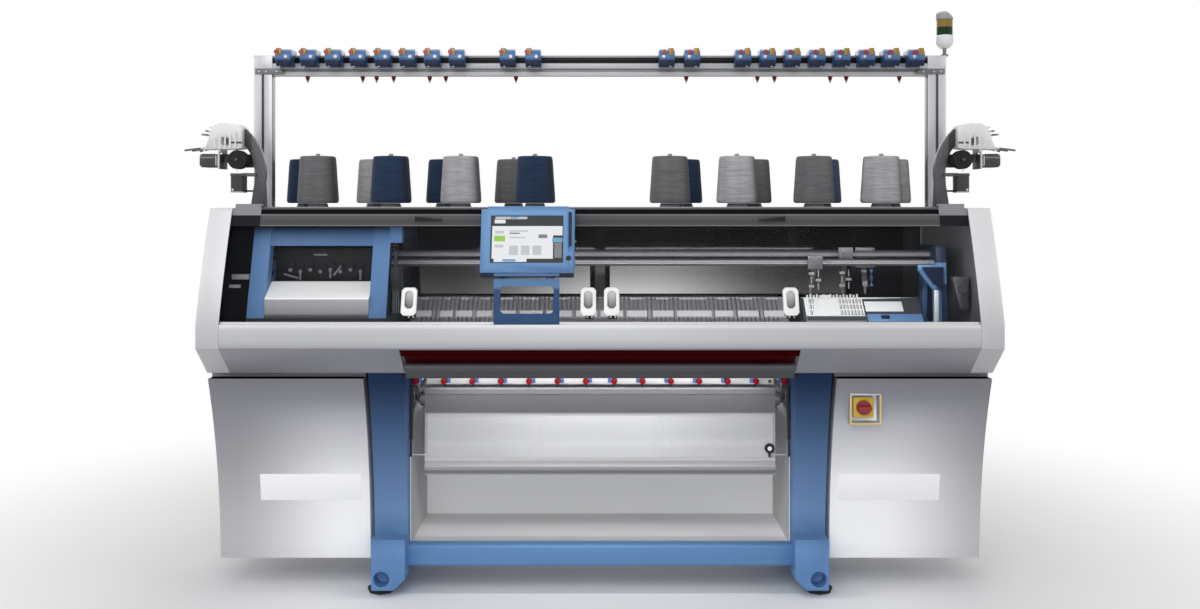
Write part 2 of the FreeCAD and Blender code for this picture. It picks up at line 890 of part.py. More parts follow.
def rear_covers():
    """The upper rear cover with two window openings, and the doors behind the cabinets."""
    half = inner_x - seam
    cover = box(-half, half, rear_cover_y, rear_cover_y + sheet, apron_low_z, hood_top_z - 2)
    for sign in (-1, 1):
        cover = cover.cut(
            box(
                sign * 40, sign * (rear_window_x - 20), rear_cover_y - 1, rear_cover_y + 10,
                rear_window_low, rear_window_high,
            )
        )
    top = box(-half, half, rear_cover_y - 40, rear_cover_y + sheet, hood_top_z - 5, hood_top_z - 2)
    cover = one([cover, top])
    door = box(
        lower_inner_x, half_width - 1, lower_rear_y, lower_rear_y + sheet,
        lower_low_z, apron_low_z - seam,
    )
    middle = (lower_inner_x + half_width) / 2
    reach = louvre_share * (half_width - lower_inner_x) / 2
    for i in range(louvre_count):
        z = lower_low_z + (lower_high_z - lower_low_z) / 6 + i * louvre_pitch
        louvre = box(
            middle - reach, middle + reach, lower_rear_y - 1, lower_rear_y + 10, z, z + louvre_high
        )
        door = door.cut(louvre)
    keep("rear_covers", [cover] + both_sides(door))


def cone_deck():
    """The tray on top of the machine that carries the yarn cones."""
    half = inner_x - seam
    back = rear_cover_y - 40 - seam
    front = door_y(door_top_z) + header_deep
    plate = box(-half, half, front, back, hood_top_z - 2 - deck_thick, hood_top_z - 2)
    rim = box(-half, half, front, front + 8, hood_top_z - 12, hood_top_z + 4)
    hanger = box(-half, half, front, front + 8, hood_top_z - 40, hood_top_z - 2)
    rear_lip = box(
        -half, half, back - 20, rear_cover_y, hood_top_z - 2 - deck_thick, hood_top_z - 5
    )
    keep("cone_deck", one([plate, rim, hanger, rear_lip]))


# ---------------------------------------------------------------- yarn cones
cone_base_r = 75.0
cone_top_r = 64.0
cone_high = 170.0
cone_tube_r = 18.0
pedestal_r = 40.0
pedestal_high = 18.0
cone_front_y = 45.0
cone_rear_y = rear_y - 110.0
cone_sides = 12
# where each cone stands, as a share of the deck's half length, and whether its yarn is light
front_row = (
    (-0.8445, False), (-0.6260, False), (-0.4165, True), (-0.1948, False),
    (0.2095, False), (0.4100, True), (0.6408, False), (0.8421, True),
)
rear_row = (
    (-0.9452, False), (-0.7218, True), (-0.4984, False), (-0.2782, False),
    (0.2684, False), (0.4910, False), (0.7152, True), (0.9386, True),
)


def yarn_cone(centre):
    """A wound cone: a broad foot, a drawn-in shoulder and the tip of its paper tube."""
    low = pedestal_high
    top = low + cone_high
    return turned(
        [
            (0, low), (cone_base_r, low),
            (cone_top_r + 2, top - 8), (cone_top_r - 5, top),
            (cone_tube_r, top), (cone_tube_r, top + 12), (0, top + 12),
        ],
        centre, cone_sides,
    )


def cones():
    deck_z = hood_top_z - 2
    dark = []
    light = []
    pedestals = []
    for row, y in ((front_row, cone_front_y), (rear_row, cone_rear_y)):
        for share, is_light in row:
            centre = V(share * inner_x, y, deck_z)
            cone = yarn_cone(centre)
            if is_light:
                light.append(cone)
            else:
                dark.append(cone)
            pedestals.append(
                turned(
                    [(0, 0), (pedestal_r, 0), (pedestal_r - 6, pedestal_high), (0, pedestal_high)],
                    centre, medium_sides,
                )
            )
    keep("cones_dark", dark)
    keep("cones_light", light)
    keep("cone_pedestals", pedestals)


# ---------------------------------------------------------------- yarn stand
post_wide = 70.0
post_deep = 40.0
beam_deep = 44.0
groove = 9.0
controller_wide = 58.0
controller_deep = 64.0
dial_r = 10.0
controller_z = (1836.0, 1900.0)
outer_controllers = 8
outer_start = 535.0
outer_end = post_x - 92.5
inner_controllers = (250.0, 345.0)


def yarn_stand():
    """Two posts and a beam of grooved profile, with a slimmer rail hung below the beam."""
    posts = []
    for side in (-1, 1):
        x = side * post_x
        post = box(
            x - post_wide / 2, x + post_wide / 2, stand_y - post_deep / 2, stand_y + post_deep / 2,
            hood_top_z, beam_z[1],
        )
        flute = box(
            x - groove / 2, x + groove / 2, stand_y - post_deep / 2 - 1,
            stand_y - post_deep / 2 + groove, hood_top_z - 1, beam_z[1] - 60,
        )
        post = post.cut(one([flute, mirror_about_stand(flute)]))
        posts.append(post)
    end = post_x - post_wide / 2
    half = beam_deep / 2
    middle = (beam_z[0] + beam_z[1]) / 2
    beam = box(-end, end, stand_y - half, stand_y + half, beam_z[0], beam_z[1])
    flute = box(
        -end - 1, end + 1, stand_y - half - 1, stand_y - half + groove,
        middle - groove / 2, middle + groove / 2,
    )
    beam = beam.cut(one([flute, mirror_about_stand(flute)]))
    rail = box(
        -end, end, stand_y - half + 8, stand_y + half - 8, lower_rail_z[0], lower_rail_z[1]
    )
    keep("yarn_stand", posts + [beam, rail])


def mirror_about_stand(shape):
    return shape.mirror(V(0, stand_y, 0), V(0, 1, 0))


def controller_places():
    places = list(inner_controllers)
    for i in range(outer_controllers):
        places.append(outer_start + i * (outer_end - outer_start) / (outer_controllers - 1))
    return sorted([-x for x in places] + places)


def controllers():
    """Yarn stop-motion controllers hooked on the beam: housing, tension disc and lamp."""
    bodies = []
    caps = []
    dials = []
    front = stand_y - beam_deep / 2
    for x in controller_places():
        x0 = x - controller_wide / 2
        x1 = x + controller_wide / 2
        body = side_form(
            x0, x1, (front, controller_z[0]),
            [
                (front - controller_deep + 20, controller_z[0]),
                (front - controller_deep, controller_z[0] + 22),
                (front - controller_deep, controller_z[1] - 22),
                (front - controller_deep + 7, controller_z[1] - 7),
                (front - controller_deep + 22, controller_z[1]),
                (front + 26, controller_z[1]),
                (front + 26, beam_z[1]),
                (front, beam_z[1]),
            ],
        )
        bodies.append(body)
        caps.append(
            front_form(
                front - controller_deep + 26, front - 6, (x0 + 6, controller_z[1]),
                [
                    (x0 + 26, controller_z[1]), (x0 + 26, controller_z[1] + 9),
                    (x0 + 22, controller_z[1] + 13), (x0 + 10, controller_z[1] + 13),
                    (x0 + 6, controller_z[1] + 9),
                ],
            )
        )
        face = V(x0 + 16, front - controller_deep, controller_z[1] - 26)
        dials.append(rod(dial_r, face, face - V(0, 9, 0), medium_sides))
    keep("controller_bodies", bodies)
    keep("controller_caps", caps)
    keep("controller_dials", dials)


# places of the guides, as a share of the deck's half length
guide_places = (
    -0.908, -0.737, -0.694, -0.641, -0.529, -0.479, -0.261,
    0.268, 0.489, 0.542, 0.715, 0.765, 0.930,
)


def yarn_guides():
    """Small yarn guides, clipped under the lower rail."""
    guides = []
    for share in guide_places:
        x = share * inner_x
        top = V(x, stand_y - 6, lower_rail_z[0])
        clip = box(x - 9, x + 9, top.y - 8, top.y + 8, top.z - 10, top.z)
        near = V(x, top.y - 3, top.z - 17)
        far = V(x, top.y + 3, top.z - 17)
        guides.append(one([clip, rod(8, near, far, fine_sides)]))
    keep("yarn_guides", guides)


lamp_x = post_x + 35.0
lamp_rod_x = post_x + 18.0
lamp_r = 32.0
lamp_rod_r = 6.0
lamp_foot_z = 1926.0
lamp_green_z = 1962.0
lamp_yellow_z = 1991.0
lamp_cap_z = 2022.0
lamp_top_z = 2051.0


def signal_lamp():
    """Lamp on the right end of the stand: rod, foot, two lenses and a cap."""
    at = V(lamp_x, stand_y, 0)
    rod_foot = V(lamp_rod_x, stand_y, beam_z[1])
    post = rod(lamp_rod_r, rod_foot, V(lamp_rod_x, stand_y, lamp_foot_z + 1), medium_sides)
    flange = rod(lamp_rod_r + 8, rod_foot, rod_foot + V(0, 0, 5), medium_sides)
    foot = turned(
        [
            (0, lamp_foot_z), (lamp_r - 6, lamp_foot_z), (lamp_r, lamp_foot_z + 6),
            (lamp_r, lamp_green_z), (0, lamp_green_z),
        ],
        at,
    )
    cap = turned(
        [
            (0, lamp_cap_z), (lamp_r, lamp_cap_z), (lamp_r, lamp_cap_z + 8),
            (lamp_r - 10, lamp_top_z - 4), (lamp_r - 16, lamp_top_z), (0, lamp_top_z),
        ],
        at,
    )
    keep("lamp_housing", [one([flange, post, foot]), cap])
    lenses = []
    for low, high in ((lamp_green_z, lamp_yellow_z), (lamp_yellow_z, lamp_cap_z)):
        lenses.append(
            turned(
                [
                    (0, low), (lamp_r - 1, low), (lamp_r - 1, low + 9), (lamp_r - 3, low + 11),
                    (lamp_r - 1, low + 13), (lamp_r - 1, high), (0, high),
                ],
                at,
            )
        )
    keep("lamp_lenses", lenses)


# ---------------------------------------------------------------- rails and brackets
def rails():
    """Two ridged guide rails for the carriage and four rails for the yarn feeders."""
    section = [
        (-rail_y + rail_wide / 2, rail_low_z),
        (-rail_y + rail_wide / 2, rail_low_z + 9),
        (-rail_y + rail_wide / 2 - 3, rail_low_z + 13),
        (-rail_y + rail_wide / 2, rail_low_z + 17),
        (-rail_y + rail_wide / 2, rail_low_z + rail_high),
        (-rail_y - rail_wide / 2, rail_low_z + rail_high),
        (-rail_y - rail_wide / 2, rail_low_z + 17),
        (-rail_y - rail_wide / 2 + 3, rail_low_z + 13),
        (-rail_y - rail_wide / 2, rail_low_z + 9),
    ]
    rail = side_form(-rail_half, rail_half, (-rail_y - rail_wide / 2, rail_low_z), section)
    keep("carriage_rails", [rail, mirror_y(rail)])
    feeder = []
    for y, z in (feeder_rail_low, feeder_rail_up):
        for sign in (-1, 1):
            feeder.append(feeder_rail(sign * y, z))
    keep("feeder_rails", feeder)


def feeder_rail(y, z):
    half_t = feeder_rail_thick / 2
    half_h = feeder_rail_high / 2
    return side_form(
        -bracket_inner_x, bracket_inner_x, (y - half_t, z - half_h),
        [
            (y + half_t, z - half_h), (y + half_t, z - 4), (y + half_t - 2, z),
            (y + half_t, z + 4), (y + half_t, z + half_h),
            (y - half_t, z + half_h), (y - half_t, z + 4), (y - half_t + 2, z),
            (y - half_t, z - 4),
        ],
    )


def bed_brackets():
    """Blue end brackets that carry the feeder rails, with a pierced gusset in front."""
    column = side_form(
        bracket_inner_x, bracket_outer_x, (-bracket_foot_y, base_top_z),
        [
            (bracket_foot_y, base_top_z), (bracket_top_y, bracket_top_z),
            (-bracket_top_y, bracket_top_z),
        ],
    )
    low_half = bracket_foot_y - bracket_ring[0]
    high_half = bracket_top_y - bracket_ring[1]
    low_z = base_top_z + bracket_ring[0]
    high_z = bracket_top_z - 2 * bracket_ring[1]
    window = side_form(
        bracket_inner_x - 1, bracket_outer_x + 1, (-low_half, low_z),
        [(low_half, low_z), (high_half, high_z), (-high_half, high_z)],
    )
    window = bevelled(window, 12, lambda e: runs_along(e, V(1, 0, 0)))
    root_x = bracket_inner_x + 2
    tip_x = bracket_inner_x - gusset_reach
    gusset_z = bracket_top_z - gusset_reach
    gusset = front_form(
        -bracket_top_y - 12, -bracket_top_y, (root_x, gusset_z),
        [(tip_x, gusset_z), (tip_x, gusset_z - 20), (root_x, gusset_z - 108)],
    )
    hole = front_form(
        -bracket_top_y - 14, -bracket_top_y + 6, (bracket_inner_x - 8, gusset_z - 18),
        [(tip_x + 20, gusset_z - 18), (bracket_inner_x - 8, gusset_z - 74)],
    )
    foot = box(
        end_slide_reach + 1, bracket_outer_x, -bracket_foot_y, -bracket_foot_y + 28,
        base_top_z, base_top_z + 14,
    )
    bracket = one([column.cut(window), gusset.cut(hole), foot])
    keep("bed_brackets", both_sides(bracket))


# ---------------------------------------------------------------- carriage
def bow_form(x0, x1):
    """The bow's outline: two leaning arms joined over the beds."""
    lean = (bow_foot_y - bow_top_y) / (bow_top_z - plate_top_z)
    inner_z = bow_top_z - bow_thick
    foot_in = bow_foot_y - bow_thick
    top_in = foot_in - lean * (inner_z - plate_top_z)
    corner = 30
    bow = side_form(
        x0, x1, (-bow_foot_y, plate_top_z),
        [
            (-bow_top_y - lean * corner, bow_top_z - corner),
            ((-bow_top_y + 6, bow_top_z - 8), (-bow_top_y + corner, bow_top_z)),
            (bow_top_y - corner, bow_top_z),
            ((bow_top_y - 6, bow_top_z - 8), (bow_top_y + lean * corner, bow_top_z - corner)),
            (bow_foot_y, plate_top_z),
            (foot_in, plate_top_z),
            (top_in, inner_z),
            (-top_in, inner_z),
            (-foot_in, plate_top_z),
        ],
    )
    return bow


def carriage():
    """Cam boxes on both beds, joined by a blue bow, with white covers in front and behind."""
    left = carriage_left
    right = carriage_left + carriage_wide
    arms = [bow_form(left, left + bow_arm), bow_form(right - bow_arm, right)]
    lean = (bow_foot_y - bow_top_y) / (bow_top_z - plate_top_z)
    low_z = bow_top_z - tie_high
    tie_y = -bow_top_y - lean * tie_high
    tie = side_form(
        left + 10, right - 10, (tie_y + 4, low_z),
        [
            (-bow_top_y - lean * 30 + 4, bow_top_z - 30),
            ((-bow_top_y + 9, bow_top_z - 11), (-bow_top_y + 30, bow_top_z - 4)),
            (-bow_top_y + 30, bow_top_z - bow_thick + 4),
            (tie_y + 26, low_z),
        ],
    )
    tab_y = -bow_top_y - lean * tie_high
    tab = box(right - 2, right + tab_out, tab_y + 4, tab_y + bow_thick, low_z + 10, bow_top_z - 3)
    keep("carriage_bow", one(arms + [tie, mirror_y(tie), tab]))

    shoe_in = rail_wide / 2 + slide_gap
    rail_top = rail_low_z + rail_high + slide_gap
    far = bed_point(cam_far, cam_high)
    face_y = -bow_foot_y - belt_clamp + slide_gap
    plate = side_form(
        left, right, (face_y, rail_top),
        [
            (face_y, plate_top_z),
            (far[0] + 30, plate_top_z),
            (far[0] + 12, rail_top),
            (-rail_y + shoe_in + 18, rail_top),
            (-rail_y + shoe_in + 18, rail_low_z + 6),
            (-rail_y + shoe_in, rail_low_z + 6),
            (-rail_y + shoe_in, rail_top),
            (-rail_y - shoe_in, rail_top),
            (-rail_y - shoe_in, rail_low_z + 6),
            (-rail_y - shoe_in - 18, rail_low_z + 6),
            (-rail_y - shoe_in - 18, rail_top),
        ],
    )
    cam_box = side_form(
        left + 6, right - 6, bed_point(cam_near, slide_gap + 0.5),
        [bed_point(cam_near, cam_high), far, bed_point(cam_far, slide_gap + 0.5)],
    )
    halves = [plate, cam_box]
    spacing = (carriage_wide - 2 * bow_arm) / 4
    for i in range(4):
        x = left + bow_arm + spacing * (i + 0.5)
        at = V(x, -cam_motor_y, plate_top_z - 10)
        top = at + V(0, 0, cam_motor_high + 10)
        halves.append(rod(cam_motor / 2, at, top, full_sides))
        halves.append(rod(cam_motor / 4, top - V(0, 0, 1), top + V(0, 0, 14), fine_sides))
    front = one(halves)
    sensor_y = -bow_top_y - lean * (bow_top_z - sensor_z[1])
    sensor = cut_box(
        right, right + tab_out, sensor_y + 4, sensor_y + bow_thick - 10, sensor_z[0], sensor_z[1],
        5, V(0, 0, 1),
    )
    neck = box(
        right + 14, right + 24, sensor_y + 14, sensor_y + 24, sensor_z[1] - 1, low_z + 10
    )
    keep("carriage_body", [front, mirror_y(front), one([sensor, neck])])

    front = -cover_front_y
    back = -cover_back_y
    cover = side_form(
        left + bow_arm + 0.5, right - bow_arm - 0.5, (front, plate_top_z),
        [
            (front, cover_low_edge_z),
            ((front + 2, cover_low_edge_z + 6), (front + 7, cover_low_edge_z + 10)),
            (back - 26, cover_top_z - 2),
            ((back - 21, cover_top_z), (back - 14, cover_top_z)),
            (back, cover_top_z),
            (back, plate_top_z),
        ],
    )
    inside = front + cover_skin
    hollow = side_form(
        left + bow_arm + cover_skin, right - bow_arm - cover_skin, (inside, plate_top_z - 1),
        [
            (inside, cover_low_edge_z), (back - 24, cover_top_z - 2 * cover_skin),
            (back + 1, cover_top_z - 2 * cover_skin), (back + 1, plate_top_z - 1),
        ],
    )
    cover = cover.cut(hollow)
    keep("carriage_covers", [cover, mirror_y(cover)])


# ---------------------------------------------------------------- yarn feeders
feeder_wide = 36.0
feeder_rest = {"a": (760.0, -1), "b": (878.0, 0), "c": (960.0, 1)}
feeder_tip_z = 997.0
feeder_tip_pitch = 3.6     # the tips pass beside each other


def feeder(x, which):
    """A feeder: a block that clasps its rail, a slanted arm and a fine tip at the needles."""
    if which == -1:
        y, z = -feeder_rail_low[0], feeder_rail_low[1]
    elif which == 0:
        y, z = -feeder_rail_up[0], feeder_rail_up[1]
    else:
        y, z = feeder_rail_up[0], feeder_rail_up[1]
    half_t = feeder_rail_thick / 2 + slide_gap
    half_h = feeder_rail_high / 2 + slide_gap
    x0 = x - feeder_wide / 2
    x1 = x + feeder_wide / 2
    out = -1 if which < 1 else 1
    block = box(x0, x1, y + out * half_t, y + out * (half_t + 10), z - half_h - 5, z + half_h + 5)
    near = y - out * half_t
    far = y + out * (half_t + 1)
    top = box(x0, x1, near, far, z + half_h, z + half_h + 5)
    low = box(x0, x1, near, far, z - half_h - 5, z - half_h)
    start_y = y + out * (half_t + 6)
    tip_y = which * feeder_tip_pitch
    neck_z = feeder_tip_z + 26
    arm = side_form(
        x - 9, x + 9, (start_y - 1.5, z - half_h),
        [
            (start_y + 1.5, z - half_h),
            (tip_y + 1.2, neck_z),
            (tip_y + 0.9, feeder_tip_z),
            (tip_y - 0.9, feeder_tip_z),
            (tip_y - 1.2, neck_z),
        ],
    )
    narrow = box(x - 10, x - 4, -200, 200, feeder_tip_z - 1, neck_z)
    arm = arm.cut(narrow)
    narrow.translate(V(14, 0, 0))
    arm = arm.cut(narrow)
    return one([block, top, low, arm])


def yarn_feeders():
    for name, (x, which) in feeder_rest.items():
        keep("yarn_feeder_" + name, feeder(x, which))


# ---------------------------------------------------------------- screen
screen_x = (-386.0, -82.0)
screen_low_z = 1101.0
screen_high_z = 1314.0
screen_lean = math.radians(16.2)
screen_thick = 46.0
opening_x = (-354.0, -119.0)
bracket_x = (-341.0, -130.0)
bracket_plate = 4.0
key_r = 7.2
hinge_r = 4.0


def screen_front(z):
    return front_y + 3 + (z - screen_low_z) * math.tan(screen_lean)


def screen_slab(x0, x1, z0, z1, behind, thick):
    """A slab parallel to the screen, a given way behind its face."""
    return side_form(
        x0, x1, (screen_front(z0) + behind, z0),
        [
            (screen_front(z0) + behind + thick, z0),
            (screen_front(z1) + behind + thick, z1),
            (screen_front(z1) + behind, z1),
        ],
    )


def control_screen():
    x0, x1 = screen_x
    shell = screen_slab(x0, x1, screen_low_z, screen_high_z, 0, screen_thick)
    step = 20
    for edge in (x0, x1 - step):
        shell = shell.cut(
            box(edge, edge + step, -500, -300, screen_high_z - 9, screen_high_z + 1)
        )
    low = screen_low_z + 32
    mouth = screen_slab(opening_x[0], opening_x[1], low, screen_high_z - 30, -1, 7)
    shell = shell.cut(mouth)
    slot = screen_slab(-103, -96, 1168, 1296, -1, 4)
    shell = shell.cut(slot)
    key_z = 1148.0
    key_face = screen_front(key_z)
    normal = V(0, -math.cos(screen_lean), math.sin(screen_lean))
    key_at = V(-101, key_face, key_z)
    key_hole = rod(key_r + seam, key_at + normal * 2, key_at - normal * 12, full_sides)
    shell = shell.cut(key_hole)
    hinge_y = screen_front(screen_low_z) + screen_thick / 2
    knuckle = V(0, hinge_y, screen_low_z - 10)
    ears = []
    for x in (bracket_x[0] + 30, bracket_x[1] - 30):
        ear = side_form(
            x - 8, x + 8, (hinge_y - 9, screen_low_z + 2),
            [
                (hinge_y - 9, screen_low_z - 10),
                ((hinge_y, screen_low_z - 19), (hinge_y + 9, screen_low_z - 10)),
                (hinge_y + 9, screen_low_z + 8),
            ],
        )
        left_end = V(x - 9, knuckle.y, knuckle.z)
        right_end = V(x + 9, knuckle.y, knuckle.z)
        ears.append(ear.cut(bore(hinge_r + shaft_gap, left_end, right_end, medium_sides)))
    keep("screen_housing", one([shell] + ears))
    keep("screen_panel", screen_slab(
        opening_x[0], opening_x[1], low, screen_high_z - 30, 2.5, 3.5
    ))
    key = rod(key_r, key_at + normal * 2.5, key_at - normal * 9, full_sides)
    keep("screen_key", key)
    print("screen hinge", round(knuckle.y, 2), round(knuckle.z, 2), "key", key_at, normal)
    screen_bracket(knuckle)


def screen_bracket(knuckle):
    """A blue plate that hangs on the front cover's rib and carries the screen's hinge."""
    x0, x1 = bracket_x
    foot = sill_z + slide_gap
    top = knuckle.z - 14
    face = front_y + 1
    plate = box(x0, x1, face, face + bracket_plate, foot, top)
    window = cut_box(x0 + 21, x1 - 19, face - 1, face + 9, foot + 35, top - 19, 8, V(0, 1, 0))
    plate = plate.cut(window)
    rib_front = front_y + rib_y
    solids = [plate]
    for x in (x0 + 4, x1 - 24):
        over = box(
            x, x + 20, face + 1, rib_front + rib_thick + 4,
            sill_z + rib_high + slide_gap, sill_z + rib_high + 4,
        )
        hook = box(
            x, x + 20, rib_front + rib_thick + slide_gap, rib_front + rib_thick + 4,
            sill_z + 1, sill_z + rib_high + 2,
        )
        solids.extend([over, hook])
    for x in (x0 + 30, x1 - 30):
        for side in (-1, 1):
            near = x + side * 8.3
            cheek = side_form(
                min(near, near + side * 5), max(near, near + side * 5), (face, top - 16),
                [
                    (knuckle.y + 7, top - 4),
                    ((knuckle.y + 9, knuckle.z), (knuckle.y, knuckle.z + 6)),
                    (face, top),
                ],
            )
            solids.append(cheek)
        left_end = V(x - 13, knuckle.y, knuckle.z)
        right_end = V(x + 13, knuckle.y, knuckle.z)
        solids.append(rod(hinge_r, left_end, right_end, medium_sides))
    keep("screen_bracket", one(solids))


# ---------------------------------------------------------------- take-down and fabric bay
roller_y = -40.0
roller_z = 632.0
roller_r = 32.0
presser_r = 20.0
presser_shaft_r = 5.0
flap_in = 70.0             # flap's axis, back from the leg blocks' front
presser_sides = 10
knob_grip_r = 12.0         # the knobs that set the pressing rollers
roller_half = 640.0
presser_count = 14
presser_pitch = 98.5
presser_long = 88.0
journal_r = 10.0
flap_y = -(leg_block_half - flap_in)
bar_front_y = flap_y + 73.0
bar_deep_y = 34.0
bar_low_z = 695.0
bar_high_z = 719.0
bay_floor_z = 152.0
bay_rear_y = beam_front_half - beam_thick - 30.0
bay_top_z = 560.0


def presser_place(i):
    return (i - (presser_count - 1) / 2) * presser_pitch


def take_down():
    """Main roller, its row of pressing rollers, and the bar with an arm for each."""
    start = V(-roller_half, roller_y, roller_z)
    end = V(roller_half, roller_y, roller_z)
    core = rod(roller_r, start, end, full_sides)
    journals = rod(journal_r, start - V(13.5, 0, 0), end + V(13.5, 0, 0), medium_sides)
    keep("take_down_roller", one([core, journals]))
    gap = 0.5
    y = roller_y - roller_r - presser_r - gap
    shaft_end = presser_place(presser_count - 1) + 5
    shaft_start = V(-shaft_end, y, roller_z)
    rollers = [rod(presser_shaft_r, shaft_start, V(shaft_end, y, roller_z), fine_sides)]
    for i in range(presser_count - 1):
        x = presser_place(i) + presser_pitch / 2
        left_end = V(x - presser_long / 2, y, roller_z)
        rollers.append(rod(presser_r, left_end, left_end + V(presser_long, 0, 0), presser_sides))
    keep("pressing_rollers", one(rollers))
    bar = box(-leg_inner_x, leg_inner_x, bar_front_y, bar_front_y + bar_deep_y, bar_low_z, bar_high_z)
    bar = bevelled(bar, 3, lambda e: runs_along(e, V(1, 0, 0)))
    solids = [bar]
    for i in range(presser_count):
        x = presser_place(i)
        arm = side_form(
            x - 3, x + 3, (bar_front_y + 8, bar_low_z + 3),
            [
                (bar_front_y + 30, bar_low_z + 3),
                (y + 12, roller_z - 4),
                (y + 5, roller_z - 12),
                (y - 5, roller_z - 12),
                (y - 12, roller_z - 4),
            ],
        )
        left_end = V(x - 4, y, roller_z)
        hole = bore(presser_shaft_r + shaft_gap, left_end, left_end + V(8, 0, 0), fine_sides)
        solids.append(arm.cut(hole))
    for side in (-1, 1):
        solids.append(flap_hinge_plate(side))
    keep("pressing_bar", one(solids))
    knobs = []
    middle = (bar_low_z + bar_high_z) / 2
    for i in range(presser_count):
        x = presser_place(i)
        face = V(x, bar_front_y, middle)
        grip = rod(knob_grip_r, face - V(0, 4, 0), face - V(0, 18, 0), medium_sides)
        stem = rod(presser_shaft_r, face, face - V(0, 6, 0), fine_sides)
        knobs.append(one([grip, stem]))
    keep("pressing_knobs", knobs)


def flap_hinge_plate(side):
    """A plate on the bar that holds one end of the flap's hinge pin."""
    pin_y = flap_y + flap_thick / 2
    x0 = side * (flap_half + 5)
    x1 = side * (flap_half + 13)
    plate = side_form(
        min(x0, x1), max(x0, x1), (bar_front_y + 6, bar_low_z + 4),
        [
            (bar_front_y + 6, bar_high_z - 3),
            (pin_y, flap_top_z + 9),
            (pin_y - 7, flap_top_z + 6),
            (pin_y - 9, flap_top_z),
            (pin_y - 7, flap_top_z - 6),
            (pin_y, flap_top_z - 9),
        ],
    )
    start = V(min(x0, x1) - 1, pin_y, flap_top_z)
    return plate.cut(bore(flap_pin_r + shaft_gap, start, start + V(10, 0, 0), medium_sides))


def fabric_bay():
    """White sheet bay: floor, two sides and a back, with bearing plates for the roller."""
    half = leg_inner_x - slide_gap
    low = bay_floor_z
    floor = box(-half, half, -beam_front_half + beam_thick + 2, bay_rear_y, low, low + sheet)
    back = box(-half, half, bay_rear_y - sheet, bay_rear_y, low, bay_top_z)
    solids = [floor, back]
    for side in (-1, 1):
        wall = side_form(
            min(side * half, side * (half - sheet)), max(side * half, side * (half - sheet)),
            (-beam_front_half + beam_thick + 2, low),
            [
                (-beam_front_half + beam_thick + 2, bay_top_z + 60),
                (-100, bar_low_z - 20),
                (20, bar_low_z - 20),
                (60, bay_top_z),
                (bay_rear_y, bay_top_z),
                (bay_rear_y, low),
            ],
        )
        solids.append(wall)
    bay = one(solids)
    start = V(-leg_inner_x, roller_y, roller_z)
    hole = bore(journal_r + shaft_gap, start, start + V(2 * leg_inner_x, 0, 0), medium_sides)
    keep("fabric_bay", bay.cut(hole))


flap_half = 598.0
flap_pin_r = 3.0
flap_top_z = 690.0
flap_low_z = 397.0
flap_thick = 5.0
flap_rail_high = 58.0
spring_x = 645.5
spring_top = (flap_y + 30.0, 695.0)
spring_low_z = 465.0
spring_r = 6.0
spring_rod_r = 3.5
spring_eye_half = 4.0
spring_eye_r = 7.0


def fabric_flap():
    """A clear flap hinged at its top, with an aluminium lower rail and a ring latch."""
    pane_form = box(
        -flap_half, flap_half, flap_y, flap_y + flap_thick,
        flap_low_z + flap_rail_high - 12, flap_top_z - 6,
    )
    keep("fabric_flap", pane_form)
    z0 = flap_low_z
    z1 = flap_low_z + flap_rail_high
    back = flap_y + flap_thick
    rail = side_form(
        -flap_half, flap_half, (flap_y - 4, z0),
        [
            (flap_y - 4, z0 + 22), (flap_y - 8, z0 + 26), (flap_y - 8, z0 + 32),
            (flap_y - 4, z0 + 36), (flap_y - 4, z1), (flap_y, z1), (flap_y, z1 - 12),
            (back, z1 - 12), (back, z1), (back + 4, z1), (back + 4, z0),
        ],
    )
    top_rail = side_form(
        -flap_half, flap_half, (flap_y - 3, flap_top_z - 18),
        [
            (flap_y, flap_top_z - 18), (flap_y, flap_top_z - 6), (back, flap_top_z - 6),
            (back, flap_top_z - 18), (back + 3, flap_top_z - 18),
            (back + 3, flap_top_z - 3),
            ((flap_y + flap_thick / 2, flap_top_z + 6), (flap_y - 3, flap_top_z - 3)),
        ],
    )
    pin_y = flap_y + flap_thick / 2
    pin_end = flap_half + 12
    pin_start = V(-pin_end, pin_y, flap_top_z)
    pin = rod(flap_pin_r, pin_start, V(pin_end, pin_y, flap_top_z), medium_sides)
    pieces = [rail, top_rail, pin]
    stud_end = spring_x - spring_eye_half - slide_gap
    for side in (-1, 1):
        bracket = box(
            side * (flap_half - 10), side * flap_half, flap_y - 4, flap_y + flap_thick + 4,
            z1 - 2, spring_low_z + 6,
        )
        stud_start = V(side * (flap_half - 8), pin_y, spring_low_z)
        stud = rod(
            flap_pin_r, stud_start, V(side * stud_end, pin_y, spring_low_z), medium_sides
        )
        pieces.extend([bracket, stud])
    pane_space = box(
        -flap_half, flap_half, flap_y, flap_y + flap_thick,
        flap_low_z + flap_rail_high - 12, flap_top_z - 6,
    )
    keep("flap_frame", one(pieces).cut(pane_space))
    latch()
    print("flap axis", round(pin_y, 2), round(flap_top_z, 2))


latch_x = 578.0
latch_z = 489.0
latch_r = 17.0


def latch():
    """A black ring that turns on a light centre pin to lock the flap."""
    back = V(latch_x, flap_y - slide_gap, latch_z)
    disc = rod(latch_r, back - V(0, 9, 0), back, full_sides)
    mouth = back - V(0, 10, 0)
    bottom = back - V(0, 5, 0)
    outer = rod(latch_r - 5, mouth, bottom, full_sides)
    inner = rod(latch_r - 10, mouth, bottom, full_sides)
    tail = box(latch_x - 4, latch_x + 4, back.y - 5, back.y, latch_z - 30, latch_z - 14)
    keep("flap_latch", one([disc.cut(outer.cut(inner)), tail]))


